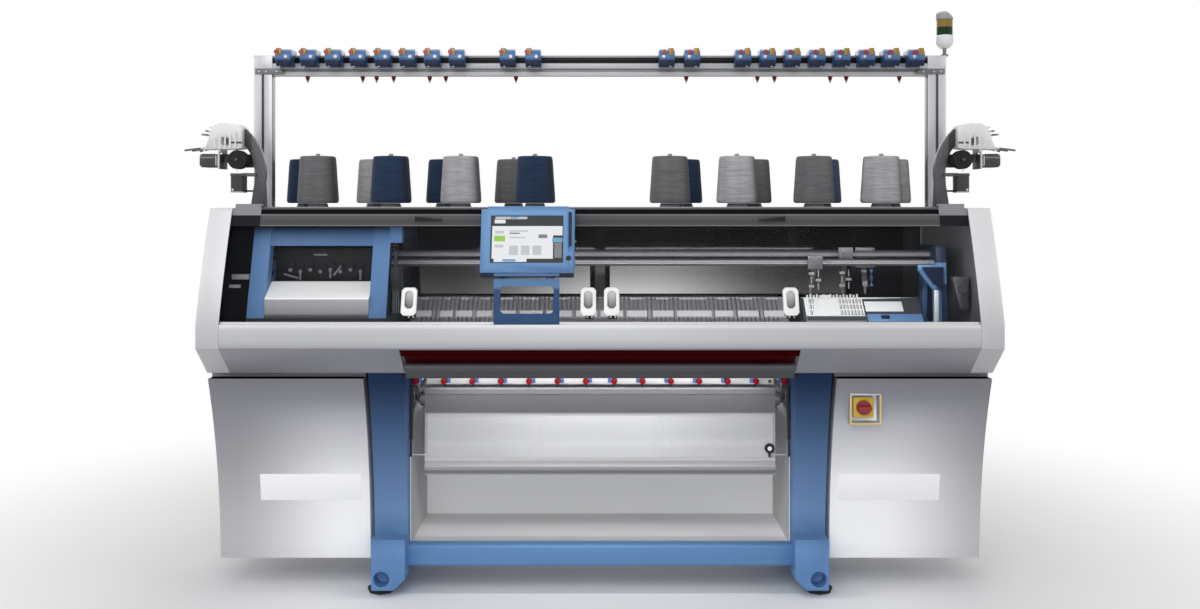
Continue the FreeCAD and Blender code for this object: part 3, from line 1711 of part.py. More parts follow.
def gas_springs():
    """Two gas springs between the legs and the flap's lower brackets."""
    cylinders = []
    rods = []
    low_y = flap_y + flap_thick / 2
    top = V(0, spring_top[0], spring_top[1])
    low = V(0, low_y, spring_low_z)
    run = low - top
    direction = V(run).normalize()
    for side in (-1, 1):
        shift = V(side * spring_x, 0, 0)
        half = V(spring_eye_half, 0, 0)
        eye = rod(spring_eye_r, shift + top - half, shift + top + half, medium_sides)
        barrel_start = shift + top + direction * 4
        barrel_end = shift + top + direction * (run.Length - 52)
        barrel = rod(spring_r, barrel_start, barrel_end, medium_sides)
        inside = bore(
            spring_rod_r + shaft_gap, shift + top + direction * 60, barrel_end + direction,
            medium_sides,
        )
        cylinder = one([eye, barrel]).cut(inside)
        hole = bore(
            flap_pin_r + shaft_gap, shift + top - half * 1.2, shift + top + half * 1.2, medium_sides
        )
        cylinders.append(cylinder.cut(hole))
        stem = rod(spring_rod_r, shift + top + direction * 110, shift + low, medium_sides)
        end_eye = rod(spring_eye_r - 0.5, shift + low - half, shift + low + half, medium_sides)
        rods.append(one([stem, end_eye]))
    keep("spring_cylinders", cylinders)
    keep("spring_rods", rods)
    print("spring axis", top, "direction", direction)


# ---------------------------------------------------------------- side feed units
feed_y = -35.0
feed_wheel_r = 34.0
feed_wheel_wide = 36.0
feed_wheel_z = 1479.0
feed_wheel_x = half_width - 7.0
feed_shaft_r = 6.0
feed_arm_thick = 24.0
feed_low_z = 1516.0        # underside of the finned housing
feed_half_y = 40.0
feed_inner_x = half_width - 24.0
feed_outer_x = half_width + 104.0
feed_reach_x = half_width + 182.0      # tips of the tension arms
fin_pitch = 13.0


def feed_arm():
    """The curved arm that stands on the end cover and leans outwards."""
    root = half_width - 100
    arm = front_form(
        feed_y - feed_arm_thick / 2, feed_y + feed_arm_thick / 2, (root, hood_top_z),
        [
            (root + 54, hood_top_z),
            (root + 40, feed_low_z - 116),
            ((root + 50, feed_low_z - 26), (root + 104, feed_low_z + 44)),
            (root + 104, feed_low_z + 84),
            (root + 88, feed_low_z + 84),
            ((root + 20, feed_low_z + 4), (root + 4, feed_low_z - 116)),
        ],
    )
    return arm


def feed_head():
    """The finned housing with its square window, tension arms and brush."""
    top = feed_low_z + 92
    housing = front_form(
        feed_y - feed_half_y, feed_y + feed_half_y, (feed_inner_x, feed_low_z + 4),
        [
            (feed_inner_x, top - 18),
            (feed_inner_x + 14, top - 5),
            (feed_inner_x + 40, top),
            (feed_outer_x - 48, top),
            (feed_outer_x - 26, top - 10),
            (feed_outer_x - 16, top - 38),
            (feed_outer_x, feed_low_z + 12),
            (feed_outer_x, feed_low_z),
            (feed_inner_x + 28, feed_low_z),
        ],
    )
    square = box(
        feed_inner_x + 50, feed_inner_x + 72, feed_y - feed_half_y - 1, feed_y - feed_half_y / 2,
        feed_low_z + 18, feed_low_z + 44,
    )
    solids = [housing.cut(square)]
    for i in range(3):
        z = feed_low_z + 50 + i * fin_pitch
        solids.append(
            box(feed_outer_x - 40, feed_outer_x + 18 - i * 14, feed_y - 34, feed_y + 34, z, z + 5)
        )
    for i in range(3):
        y = feed_y + (i - 1) * 30
        start = V(feed_outer_x - 20, y, feed_low_z + 8)
        solids.append(rod(4, start, V(feed_reach_x - i * 16, y, feed_low_z - 4), fine_sides))
    hanger_x = feed_outer_x - 51
    solids.append(
        cut_box(
            hanger_x + 17, hanger_x + 75, feed_y - 34, feed_y + 34,
            feed_low_z - 64, feed_low_z - 16, 8, V(0, 1, 0),
        )
    )
    solids.append(
        box(hanger_x, hanger_x + 9, feed_y - 38, feed_y + 38, feed_low_z - 70, feed_low_z + 4)
    )
    solids.append(
        box(
            hanger_x + 7, hanger_x + 19, feed_y - 20, feed_y + 20,
            feed_low_z - 50, feed_low_z - 30,
        )
    )
    return solids


def feed_carrier():
    """The spindle, cheek, shelf and block under the housing."""
    root = half_width - 70
    spindle = rod(
        feed_shaft_r, V(feed_wheel_x, feed_y - 52, feed_wheel_z),
        V(feed_wheel_x, feed_y + 6, feed_wheel_z), medium_sides,
    )
    cheek = front_form(
        feed_y + 4, feed_y + 14, (root, feed_low_z - 64),
        [
            (root + 74, feed_low_z - 64), (root + 126, feed_low_z - 40),
            (root + 126, feed_low_z - 16), (root, feed_low_z - 16),
        ],
    )
    shelf = box(root, root + 90, feed_y - 30, feed_y + 12, feed_low_z - 96, feed_low_z - 84)
    block = cut_box(
        root + 44, root + 92, feed_y - 26, feed_y + 20, feed_low_z - 154, feed_low_z - 95,
        6, V(0, 0, 1),
    )
    low_start = V(root + 2, feed_y, feed_low_z - 148)
    low_rod = rod(4, low_start, low_start + V(72, 0, 0), fine_sides)
    return [spindle, cheek, shelf, block, low_rod]


def feed_units():
    """Side feed units: a curved arm, a finned housing, tension arms and a turning wheel."""
    unit = one([feed_arm()] + feed_head() + feed_carrier())
    keep("feed_units", both_sides(unit))
    half = feed_wheel_wide / 2
    hole_r = (feed_shaft_r + shaft_gap) / math.cos(math.pi / full_sides)
    wheel = turned(
        [
            (hole_r, -half), (feed_wheel_r, -half), (feed_wheel_r, -half + 4),
            (feed_wheel_r - 5, -half + 7), (feed_wheel_r - 5, half - 7),
            (feed_wheel_r, half - 4), (feed_wheel_r, half), (hole_r, half),
        ],
        V(0, 0, 0),
    )
    wheel.rotate(V(0, 0, 0), V(1, 0, 0), 90)
    wheel.translate(V(feed_wheel_x, feed_y - 22, feed_wheel_z))
    keep("feed_wheel_right", wheel)
    keep("feed_wheel_left", mirror_x(wheel))


# ---------------------------------------------------------------- the whole machine
def build():
    leg_frame()
    levelling_feet()
    machine_base()
    needle_beds()
    drive()
    inner_units()
    lower_covers()
    main_switch()
    end_covers()
    front_cover()
    front_apron()
    start_bar()
    window_header()
    fixed_panes()
    sliding_doors()
    rear_covers()
    cone_deck()
    cones()
    yarn_stand()
    controllers()
    yarn_guides()
    signal_lamp()
    rails()
    bed_brackets()
    carriage()
    yarn_feeders()
    control_screen()
    take_down()
    fabric_bay()
    fabric_flap()
    gas_springs()
    feed_units()


build()
for name, shape in parts.items():
    shape.exportStep("parts/" + name + ".step")
whole = Part.makeCompound(list(parts.values())).BoundBox
print(len(parts), "sub-parts")
print("size", round(whole.XLength, 1), round(whole.YLength, 1), round(whole.ZLength, 1))
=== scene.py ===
# %% [markdown]
# # A flat knitting machine, dressed for its photograph
#
# The machine's solids, their places and their moving bodies come from the CAD frame. This lesson
# gives every surface its finish and models the pieces that are too fine for the solids: wound
# cones, needles, knurled knobs, rollers and screws. It starts by loading the frame, because the new
# pieces sit on its solids. Where a solid gives a place, that place is read from it. The other
# places were fitted to the photograph and are written as numbers.

# %% Load the frame
import bpy
import bmesh
import json
import math
from mathutils import Matrix, Vector

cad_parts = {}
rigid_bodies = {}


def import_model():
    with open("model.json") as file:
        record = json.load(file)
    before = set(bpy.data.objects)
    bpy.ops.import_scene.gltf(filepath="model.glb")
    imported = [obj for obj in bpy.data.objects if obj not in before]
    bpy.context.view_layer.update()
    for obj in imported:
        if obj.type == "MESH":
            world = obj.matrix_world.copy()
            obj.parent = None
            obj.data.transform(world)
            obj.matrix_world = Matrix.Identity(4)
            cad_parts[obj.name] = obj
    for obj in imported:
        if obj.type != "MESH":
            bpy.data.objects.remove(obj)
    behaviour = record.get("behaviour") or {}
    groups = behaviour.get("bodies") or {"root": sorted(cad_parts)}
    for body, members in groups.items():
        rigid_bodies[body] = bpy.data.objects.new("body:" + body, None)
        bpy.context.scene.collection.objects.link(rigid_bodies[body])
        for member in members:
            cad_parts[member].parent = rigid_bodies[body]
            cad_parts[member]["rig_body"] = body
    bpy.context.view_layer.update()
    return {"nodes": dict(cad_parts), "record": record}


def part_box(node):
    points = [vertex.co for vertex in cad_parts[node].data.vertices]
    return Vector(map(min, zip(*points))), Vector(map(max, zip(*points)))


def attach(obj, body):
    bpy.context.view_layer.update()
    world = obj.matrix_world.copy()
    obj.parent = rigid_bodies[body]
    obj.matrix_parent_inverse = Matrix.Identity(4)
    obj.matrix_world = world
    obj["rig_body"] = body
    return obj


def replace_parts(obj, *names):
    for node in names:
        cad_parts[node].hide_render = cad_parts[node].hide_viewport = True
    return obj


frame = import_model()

nodes = frame["nodes"]
slot_of = {part["node"]: part["material_slot"] for part in frame["record"]["subparts"]}
MM = 0.001

# %% [markdown]
# ## Small helpers
#
# An operator acts on everything that is selected, so each step first lets go of all objects. A
# piece could keep its place in its object's transform, but a finished piece has it in its mesh, so
# that a pattern on object coordinates stays put when the piece rides with its body.

# %% Let go, pick and settle
def let_go():
    """Deselects everything."""
    for thing in bpy.context.view_layer.objects:
        thing.select_set(False)


def pick(thing):
    """Makes one object the only selected and active one."""
    let_go()
    thing.select_set(True)
    bpy.context.view_layer.objects.active = thing
    return thing


def paint(thing, *materials):
    """Gives a piece new finishes in place of its own."""
    thing.data.materials.clear()
    for material in materials:
        thing.data.materials.append(material)


def settle(piece, name, body, slot, finish=None):
    """Puts a piece's place in its mesh and gives it its name, finish and body."""
    pick(piece)
    bpy.ops.object.transform_apply(location=True, rotation=True, scale=True)
    piece.name = name
    piece.data.name = name
    paint(piece, finish or finishes[slot])
    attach(piece, body)
    return piece


def join(things):
    """Joins several meshes to the first of them."""
    let_go()
    for thing in things:
        thing.select_set(True)
    bpy.context.view_layer.objects.active = things[0]
    if len(things) > 1:
        bpy.ops.object.join()
    return things[0]


def open_mesh(thing):
    """Opens a piece for editing, with all of it selected."""
    pick(thing)
    bpy.ops.object.mode_set(mode="EDIT")
    bpy.ops.mesh.select_all(action="SELECT")


def choose(thing, test):
    """Opens a piece for editing, with only the faces selected that pass a test."""
    pick(thing)
    bpy.ops.object.mode_set(mode="EDIT")
    mesh = bmesh.from_edit_mesh(thing.data)
    for face in mesh.faces:
        face.select_set(test(face))
    bmesh.update_edit_mesh(thing.data)


def close_mesh(thing):
    """Ends the editing."""
    bpy.ops.object.mode_set(mode="OBJECT")
    return thing


def outward(thing):
    """Turns every face of a closed mesh outward."""
    open_mesh(thing)
    bpy.ops.mesh.normals_make_consistent(inside=False)
    return close_mesh(thing)


def copied(thing, shift):
    """A copy with its own mesh, moved by a shift."""
    twin = thing.copy()
    twin.data = thing.data.copy()
    twin.data.transform(Matrix.Translation(shift))
    bpy.context.scene.collection.objects.link(twin)
    return twin


def facing(thing, shift):
    """A copy moved by a shift and mirrored front to back, with its faces outward again."""
    twin = copied(thing, shift)
    twin.data.transform(Matrix.Scale(-1, 4, (0, 1, 0)))
    return outward(twin)


def smooth(thing, degrees=35):
    """Smooth shading that keeps edges sharper than the angle."""
    pick(thing)
    bpy.ops.object.shade_smooth_by_angle(angle=math.radians(degrees))
    return thing


def bevel(thing, width, segments=2, degrees=30):
    """Rounds the sharp edges with a bevel that is applied at once."""
    pick(thing)
    tool = thing.modifiers.new("edges", "BEVEL")
    tool.width = width
    tool.segments = segments
    tool.limit_method = "ANGLE"
    tool.angle_limit = math.radians(degrees)
    tool.harden_normals = False
    bpy.ops.object.modifier_apply(modifier=tool.name)
    return smooth(thing)


def give(thing, index, test):
    """Gives a piece's finish with this number to the faces that pass a test, and counts them."""
    chosen = [face for face in thing.data.polygons if test(face)]
    for face in chosen:
        face.material_index = index
    return len(chosen)


# %% [markdown]
# ## Primitives at their size and place
#
# Every new piece starts as a primitive that is added where it belongs. Boxes and rods are the two
# starts used most, so each gets one function that takes real corners or ends.

# %% Box and rod
def block(low, high):
    """A box between two corners."""
    low = Vector(low)
    high = Vector(high)
    let_go()
    bpy.ops.mesh.primitive_cube_add(size=1, location=(low + high) / 2)
    thing = bpy.context.object
    thing.scale = high - low
    bpy.ops.object.transform_apply(location=True, rotation=True, scale=True)
    return thing


def twin_blocks(low, high):
    """A box right of the machine's middle and its mirror image, the left one first."""
    return [block((-high[0], *low[1:]), (-low[0], *high[1:])), block(low, high)]


def rod(radius, start, end, sides=24):
    """A round bar between two points."""
    start = Vector(start)
    end = Vector(end)
    run = end - start
    let_go()
    bpy.ops.mesh.primitive_cylinder_add(
        vertices=sides, radius=radius, depth=run.length, location=(start + end) / 2,
        rotation=run.to_track_quat("Z", "Y").to_euler(),
    )
    thing = bpy.context.object
    bpy.ops.object.transform_apply(location=True, rotation=True, scale=True)
    return thing


def pin(radius, x, z, start, end, sides=24):
    """A round bar along Y, from start to end."""
    return rod(radius, (x, start, z), (x, end, z), sides)


def plate(name, body, slot, low, high, edge, finish=None):
    """A box with rounded edges, as a finished piece."""
    return settle(bevel(block(low, high), edge), name, body, slot, finish)


def lathe(profile, centre, sides=48):
    """Spins an outline of (radius, height) points round the upright through a centre."""
    mesh = bpy.data.meshes.new("outline")
    mesh.from_pydata(
        [(r, 0, h) for r, h in profile], [(i, i + 1) for i in range(len(profile) - 1)], []
    )
    thing = bpy.data.objects.new("outline", mesh)
    bpy.context.scene.collection.objects.link(thing)
    open_mesh(thing)
    bpy.ops.mesh.spin(
        steps=sides, angle=2 * math.pi, center=(0, 0, 0), axis=(0, 0, 1), use_auto_merge=True
    )
    bpy.ops.mesh.select_all(action="SELECT")
    bpy.ops.mesh.remove_doubles(threshold=1e-6)
    bpy.ops.mesh.normals_make_consistent(inside=False)
    close_mesh(thing)
    thing.data.transform(Matrix.Translation(centre))
    return smooth(thing)


# %% [markdown]
# ## Finishes
#
# The covers are sprayed sheet, the frame is painted casting, the beds are ground steel and the
# pulls are moulded. One flat colour would look like paper, so each finish starts from its colour
# and gets a slow change of tone, a fine grain in its gloss and a little relief. All of it reads
# object coordinates, so it stays with the piece in every pose.

# %% A general finish
finishes = {}


def tone_nodes(tree, scale, stretch):
    """The value of a soft noise on object coordinates."""
    place = tree.nodes.new("ShaderNodeTexCoord")
    turn = tree.nodes.new("ShaderNodeMapping")
    turn.inputs["Scale"].default_value = stretch
    noise = tree.nodes.new("ShaderNodeTexNoise")
    noise.inputs["Scale"].default_value = scale
    noise.inputs["Detail"].default_value = 3.0
    tree.links.new(place.outputs["Object"], turn.inputs["Vector"])
    tree.links.new(turn.outputs["Vector"], noise.inputs["Vector"])
    return noise.outputs["Fac"]


def axes(tree, kind="Object"):
    """The X, Y and Z of the place on the object, or on its map."""
    place = tree.nodes.new("ShaderNodeTexCoord")
    split = tree.nodes.new("ShaderNodeSeparateXYZ")
    tree.links.new(place.outputs[kind], split.inputs["Vector"])
    return split.outputs


def step(tree, kind, *values):
    """A Math node on links or numbers."""
    node = tree.nodes.new("ShaderNodeMath")
    node.operation = kind
    for socket, value in zip(node.inputs, values):
        if isinstance(value, bpy.types.NodeSocket):
            tree.links.new(value, socket)
        else:
            socket.default_value = value
    return node.outputs["Value"]


def span(tree, value, low, high, at_low, at_high, soft=True):
    """A value between two places, held beyond them, with soft or with straight ends."""
    node = tree.nodes.new("ShaderNodeMapRange")
    node.interpolation_type = "SMOOTHSTEP" if soft else "LINEAR"
    tree.links.new(value, node.inputs["Value"])
    ends = {"From Min": low, "From Max": high, "To Min": at_low, "To Max": at_high}
    for name, number in ends.items():
        node.inputs[name].default_value = number
    return node.outputs["Result"]


def blend_nodes(tree, factor, first, second):
    """Mixes two colours, or the results of two nodes, by a factor."""
    mix = tree.nodes.new("ShaderNodeMix")
    mix.data_type = "RGBA"
    tree.links.new(factor, mix.inputs["Factor"])
    for socket, value in ((mix.inputs["A"], first), (mix.inputs["B"], second)):
        if isinstance(value, bpy.types.NodeSocket):
            tree.links.new(value, socket)
        else:
            socket.default_value = (*value, 1.0)
    return mix.outputs["Result"]


def ramp_nodes(tree, factor, stops):
    """A colour ramp with (place, colour) stops."""
    ramp = tree.nodes.new("ShaderNodeValToRGB")
    band = ramp.color_ramp
    band.elements.remove(band.elements[1])
    band.elements[0].position = stops[0][0]
    band.elements[0].color = (*stops[0][1], 1.0)
    for place, colour in stops[1:]:
        band.elements.new(place).color = (*colour, 1.0)
    tree.links.new(factor, ramp.inputs["Fac"])
    return ramp.outputs["Color"]


grain_scale = 700.0    # turns of the fine noise in a metre
gloss_spread = 0.07    # the fine noise moves the roughness this far each way
grain_deep = 0.0004    # metres


def shader_of(material):
    """The shader of a finish."""
    return material.node_tree.nodes["Principled BSDF"]


def gloss(material, level):
    """Sets how much a finish mirrors."""
    shader_of(material).inputs["Specular IOR Level"].default_value = level


def finish(slot, colour, rough, metal=0.0, tone=0.06, relief=0.04, stretch=(1, 1, 1), coat=0.0):
    """A finish with a slow change of tone, a grained gloss and a fine relief."""
    material = bpy.data.materials.new(slot)
    material.use_nodes = True
    tree = material.node_tree
    shader = shader_of(material)
    dark = [c * (1 - tone) for c in colour]
    light = [min(1.0, c * (1 + tone)) for c in colour]
    slow = tone_nodes(tree, 2.2, (1, 1, 1))
    tree.links.new(blend_nodes(tree, slow, dark, light), shader.inputs["Base Color"])
    fine = tone_nodes(tree, grain_scale, stretch)
    smoothest = max(0.02, rough - gloss_spread)
    spread = span(tree, fine, 0.0, 1.0, smoothest, min(1.0, rough + gloss_spread), soft=False)
    tree.links.new(spread, shader.inputs["Roughness"])
    bump = tree.nodes.new("ShaderNodeBump")
    bump.inputs["Strength"].default_value = relief
    bump.inputs["Distance"].default_value = grain_deep
    tree.links.new(fine, bump.inputs["Height"])
    tree.links.new(bump.outputs["Normal"], shader.inputs["Normal"])
    shader.inputs["Metallic"].default_value = metal
    shader.inputs["Coat Weight"].default_value = coat
    gloss(material, 0.5 if max(colour) > 0.1 else 0.15)
    finishes[slot] = material
    return material


# %% [markdown]
# Paints, mouldings and metals follow the colours of the photograph. Ground and extruded metal gets
# its grain stretched along X, the way it is worked.

# %% Paints, mouldings and metals
along_x = (0.02, 1, 1)
finish("frame_blue", (0.12, 0.25, 0.48), 0.42, tone=0.06, coat=0.1)
finish("base_dark", (0.055, 0.06, 0.068), 0.6, relief=0.15)
finish("foot_black", (0.02, 0.02, 0.022), 0.55)
finish("cover_grey", (0.6, 0.61, 0.63), 0.42, metal=0.2, tone=0.03)
finish("cover_light", (0.62, 0.63, 0.66), 0.36, metal=0.2, tone=0.02)
finish("end_white", (0.66, 0.665, 0.68), 0.3, tone=0.02, coat=0.2)
finish("apron_dark", (0.27, 0.272, 0.3), 0.42, metal=0.3)
finish("bar_red", (0.035, 0.0012, 0.002), 0.6, relief=0.1)
finish("aluminium_profile", (0.6, 0.61, 0.63), 0.34, metal=0.8, stretch=along_x)
finish("handle_white", (0.8, 0.8, 0.8), 0.3, tone=0.02, coat=0.2)
finish("deck_grey", (0.2, 0.21, 0.22), 0.45, metal=0.3)
finish("pedestal_grey", (0.25, 0.26, 0.28), 0.5)
finish("housing_blue", (0.06, 0.125, 0.27), 0.35, coat=0.2)
finish("cap_yellow", (0.62, 0.3, 0.03), 0.35, coat=0.2)
finish("dial_red", (0.42, 0.015, 0.02), 0.35, coat=0.2)
finish("guide_dark", (0.1, 0.012, 0.016), 0.4)
finish("lamp_white", (0.72, 0.72, 0.73), 0.4, tone=0.02)
finish("steel_bright", (0.6, 0.61, 0.63), 0.24, metal=1.0, stretch=along_x)
finish("steel_bed", (0.5, 0.515, 0.54), 0.3, metal=0.9, stretch=(1, 0.05, 0.05))
finish("screen_blue", (0.11, 0.22, 0.4), 0.38, tone=0.04, coat=0.1)
finish("black_rubber", (0.016, 0.016, 0.017), 0.7, relief=0.2)
finish("black_plastic", (0.02, 0.02, 0.022), 0.42)
finish("carriage_dark", (0.022, 0.024, 0.028), 0.4, relief=0.1)
finish("carriage_white", (0.74, 0.745, 0.755), 0.3, tone=0.02, coat=0.2)
finish("switch_yellow", (0.72, 0.48, 0.03), 0.4)
finish("knob_red", (0.5, 0.015, 0.02), 0.32, coat=0.3)
finish("bay_white", (0.88, 0.885, 0.89), 0.5, tone=0.02)
finish("feed_grey", (0.34, 0.35, 0.375), 0.42, metal=0.4, relief=0.1)
finish("screw_steel", (0.45, 0.46, 0.48), 0.28, metal=1.0)
print("finishes so far", len(finishes))

# %% [markdown]
# The windows are clear sheet. Real refraction would be truer, but a thin pane shows none, and light
# has to reach the beds behind it, so the pane is a faint glossy tint that lets most light through.

# %% Clear sheet
def clear_sheet(slot, colour, cover):
    """A thin clear sheet: mostly open, with a tint and a gloss."""
    material = finish(slot, colour, 0.08, tone=0.02, relief=0.0)
    shader_of(material).inputs["Alpha"].default_value = cover
    material.surface_render_method = "BLENDED"
    return material


clear_sheet("window_clear", (0.08, 0.085, 0.09), 0.035)
clear_sheet("smoked_sheet", (0.012, 0.013, 0.015), 0.94)
finish("screen_dark", (0.02, 0.025, 0.03), 0.12, tone=0.02, relief=0.0)
finish("cone_dark", (0.012, 0.03, 0.075), 0.85, tone=0.2)
finish("cone_light", (0.32, 0.33, 0.35), 0.85, tone=0.1)
finish("lens_yellow_green", (0.55, 0.6, 0.03), 0.2, tone=0.1, coat=0.4)
print("finishes in all", len(finishes))


# %% [markdown]
# ## The studio
#
# The photograph was taken level, from in front of the middle of the machine, with the frame moved
# down instead of the camera tilted, so uprights stay upright. The lens, the distance and the shift
# were worked out from the widths of the case at its front and at its back.

# %% Camera
camera_data = bpy.data.cameras.new("camera")
camera = bpy.data.objects.new("camera", camera_data)
bpy.context.scene.collection.objects.link(camera)
camera.location = (0.0, -3.945, 1.325)
camera.rotation_euler = (math.radians(90), 0, 0)
camera_data.sensor_width = 36.0
camera_data.lens = 32.7
camera_data.shift_y = -0.0846
camera_data.clip_end = 100
bpy.context.scene.camera = camera

# %% [markdown]
# A pale floor carries the shadow. It runs out to white with distance, so no horizon shows, and that
# white is seen only by the camera and by reflections, which keeps it from lighting the machine.

# %% Floor and sky
def white_where_seen(tree):
    """The factor that is 1 for camera, glossy and transmitted rays."""
    rays = tree.nodes.new("ShaderNodeLightPath").outputs
    seen = step(tree, "MAXIMUM", rays["Is Camera Ray"], rays["Is Glossy Ray"])
    return step(tree, "MAXIMUM", seen, rays["Is Transmission Ray"])


let_go()
bpy.ops.mesh.primitive_circle_add(vertices=96, radius=30, fill_type="NGON")
floor = bpy.context.object
floor.name = "floor"
floor_paint = bpy.data.materials.new("floor")
floor_paint.use_nodes = True
tree = floor_paint.node_tree
shader = shader_of(floor_paint)
shader.inputs["Base Color"].default_value = (0.86, 0.86, 0.87, 1)
shader.inputs["Roughness"].default_value = 0.7
glow = tree.nodes.new("ShaderNodeEmission")
place = tree.nodes.new("ShaderNodeTexCoord")
reach = tree.nodes.new("ShaderNodeVectorMath")
reach.operation = "LENGTH"
mix = tree.nodes.new("ShaderNodeMixShader")
tree.links.new(place.outputs["Object"], reach.inputs[0])
fade = span(tree, reach.outputs["Value"], 1.2, 3.4, 0.0, 1.0)
tree.links.new(step(tree, "MULTIPLY", fade, white_where_seen(tree)), mix.inputs["Fac"])
tree.links.new(shader.outputs["BSDF"], mix.inputs[1])
tree.links.new(glow.outputs["Emission"], mix.inputs[2])
tree.links.new(mix.outputs["Shader"], tree.nodes["Material Output"].inputs["Surface"])
floor.data.materials.append(floor_paint)

world = bpy.data.worlds.new("sky")
bpy.context.scene.world = world
world.use_nodes = True
sky = world.node_tree
back = sky.nodes["Background"]
back.inputs["Color"].default_value = (1, 1, 1, 1)
level = span(sky, white_where_seen(sky), 0.0, 1.0, 0.32, 1.0, soft=False)
sky.links.new(level, back.inputs["Strength"])

# %% [markdown]
# The light is plain and soft: a wide lamp over the front, a lower one from each side and one over
# the yarn stand. Their strengths were set so that a white cover renders just under white. Thin
# strip lamps under the header and under the apron light the beds and the knit, as on the real
# machine.

# %% Lamps
def soft_lamp(name, place, target, size, power):
    """A square area lamp that looks at a point."""
    data = bpy.data.lights.new(name, "AREA")
    data.shape = "SQUARE"
    data.size = size
    data.energy = power
    lamp = bpy.data.objects.new(name, data)
    bpy.context.scene.collection.objects.link(lamp)
    lamp.location = place
    lamp.rotation_euler = (Vector(target) - Vector(place)).to_track_quat("-Z", "Y").to_euler()
    return lamp


middle = (0, 0, 1.0)
lamps = [
    soft_lamp("front_lamp", (-0.8, -4.2, 3.6), middle, 3.2, 88),
    soft_lamp("left_lamp", (-4.2, -2.2, 2.2), middle, 2.2, 38),
    soft_lamp("right_lamp", (4.2, -2.0, 2.4), middle, 2.2, 34),
    soft_lamp("top_lamp", (0, 0.4, 4.4), middle, 3.0, 40),
    soft_lamp("low_lamp", (0, -4.4, 0.5), (0, 0, 0.45), 2.0, 26),
    soft_lamp("rear_lamp", (0.6, 4.2, 3.0), middle, 2.6, 45),
]
for name, place, tilt, length, power in (
    ("inner_strip", (0.32, -0.27, 1.236), 28, 1.75, 3.2),
    ("bay_strip", (0, -0.312, 0.756), 46, 1.15, 2.7),
):
    strip = soft_lamp(name, place, middle, length, power)
    strip.data.shape = "RECTANGLE"
    strip.data.size_y = 0.02
    strip.rotation_euler = (math.radians(tilt), 0, 0)
    lamps.append(strip)
bpy.context.scene.view_settings.view_transform = "Standard"
print("lamps", len(lamps))


# %% [markdown]
# ## Finishes on the solids
#
# A solid whose shape is right keeps its mesh and only takes its finish. A sharp edge catches no
# light, though, and real sheet and castings have rounded ones. The pieces seen from close by are
# copied, cleaned and bevelled, and the copy stands for the solid.

# %% Finish every solid
for name, node in nodes.items():
    paint(node, finishes[slot_of[name]])


def softened(name, width, clean=True):
    """A copy of a solid with clean faces and rounded edges, which stands for the solid."""
    copy = bpy.data.objects.new(name + "_finished", nodes[name].data.copy())
    bpy.context.scene.collection.objects.link(copy)
    open_mesh(copy)
    bpy.ops.mesh.remove_doubles(threshold=2e-6)
    if clean:
        bpy.ops.mesh.dissolve_limited(angle_limit=math.radians(1.0))
    close_mesh(copy)
    bevel(copy, width)
    settle(copy, name + "_finished", nodes[name]["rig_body"], slot_of[name])
    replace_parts(copy, name)
    return copy


# %% [markdown]
# Sheet covers are folded with a radius of about two millimetres, castings are rounder, and small
# mouldings have about one.

# %% Rounded edges on what shows
edge_widths = {
    "end_covers": 3.0, "front_cover": 1.6, "front_apron": 1.0, "window_header": 1.2,
    "lower_covers": 2.0, "rear_covers": 0.8, "cone_deck": 1.2, "leg_frame": 4.0,
    "yarn_stand": 1.2, "controller_bodies": 3.0, "controller_caps": 2.0, "carriage_bow": 4.0,
    "carriage_covers": 1.5, "carriage_body": 1.0, "bed_brackets": 2.0, "screen_housing": 3.0,
    "screen_bracket": 1.0, "start_bar": 1.0, "handles_left": 2.5, "handles_right": 2.5,
    "fabric_bay": 0.8, "flap_frame": 0.6, "feed_units": 2.0, "switch_plate": 1.2,
    "pressing_bar": 0.8, "machine_base": 1.5, "fixed_panes": 0.5,
}
finished = {}
for name, width in edge_widths.items():
    finished[name] = softened(name, width * MM, clean=name != "end_covers")
print("solids with rounded edges", len(finished))


# %% [markdown]
# ## Tones that change along a piece
#
# Some pieces aren't one tone from end to end: the legs take a painted shade that falls off to
# navy under the case, the lower covers take painted light that brightens to the floor and to
# their middle, and the window header is a dark profile with light lines. The same colour ramp
# over a piece's own height does all of these.

# %% A tone by height
def zone_nodes(tree, shade, zones):
    """Lays colours over a shade, each in a zone (from x, to x, from z, to z, colour)."""
    spot = axes(tree)
    for left, right, low, high, colour in zones:
        across = step(tree, "COMPARE", spot["X"], (left + right) / 2, (right - left) / 2)
        upright = step(tree, "COMPARE", spot["Z"], (low + high) / 2, (high - low) / 2)
        shade = blend_nodes(tree, step(tree, "MULTIPLY", across, upright), shade, colour)
    return shade


def both_sides(zones):
    """The zones and their mirror images."""
    return zones + [(-right, -left, low, high, colour) for left, right, low, high, colour in zones]


def height_tone(tree, low, high, stops):
    """A ramp of (height share, colour) stops from low to high."""
    return ramp_nodes(tree, span(tree, axes(tree)["Z"], low, high, 0.0, 1.0, soft=False), stops)


def by_height(name, low, high, stops, rough=0.42, metal=0.2, steps=False, zones=(), mirror=None):
    """A finish whose colour follows (height share, colour) stops, with zones laid over it."""
    material = finish(name, stops[0][1], rough, metal=metal)
    tree = material.node_tree
    tone = height_tone(tree, low, high, stops)
    if steps:
        tree.nodes["Color Ramp"].color_ramp.interpolation = "CONSTANT"
    tree.links.new(zone_nodes(tree, tone, zones), shader_of(material).inputs["Base Color"])
    if mirror is not None:
        gloss(material, mirror)
    return material
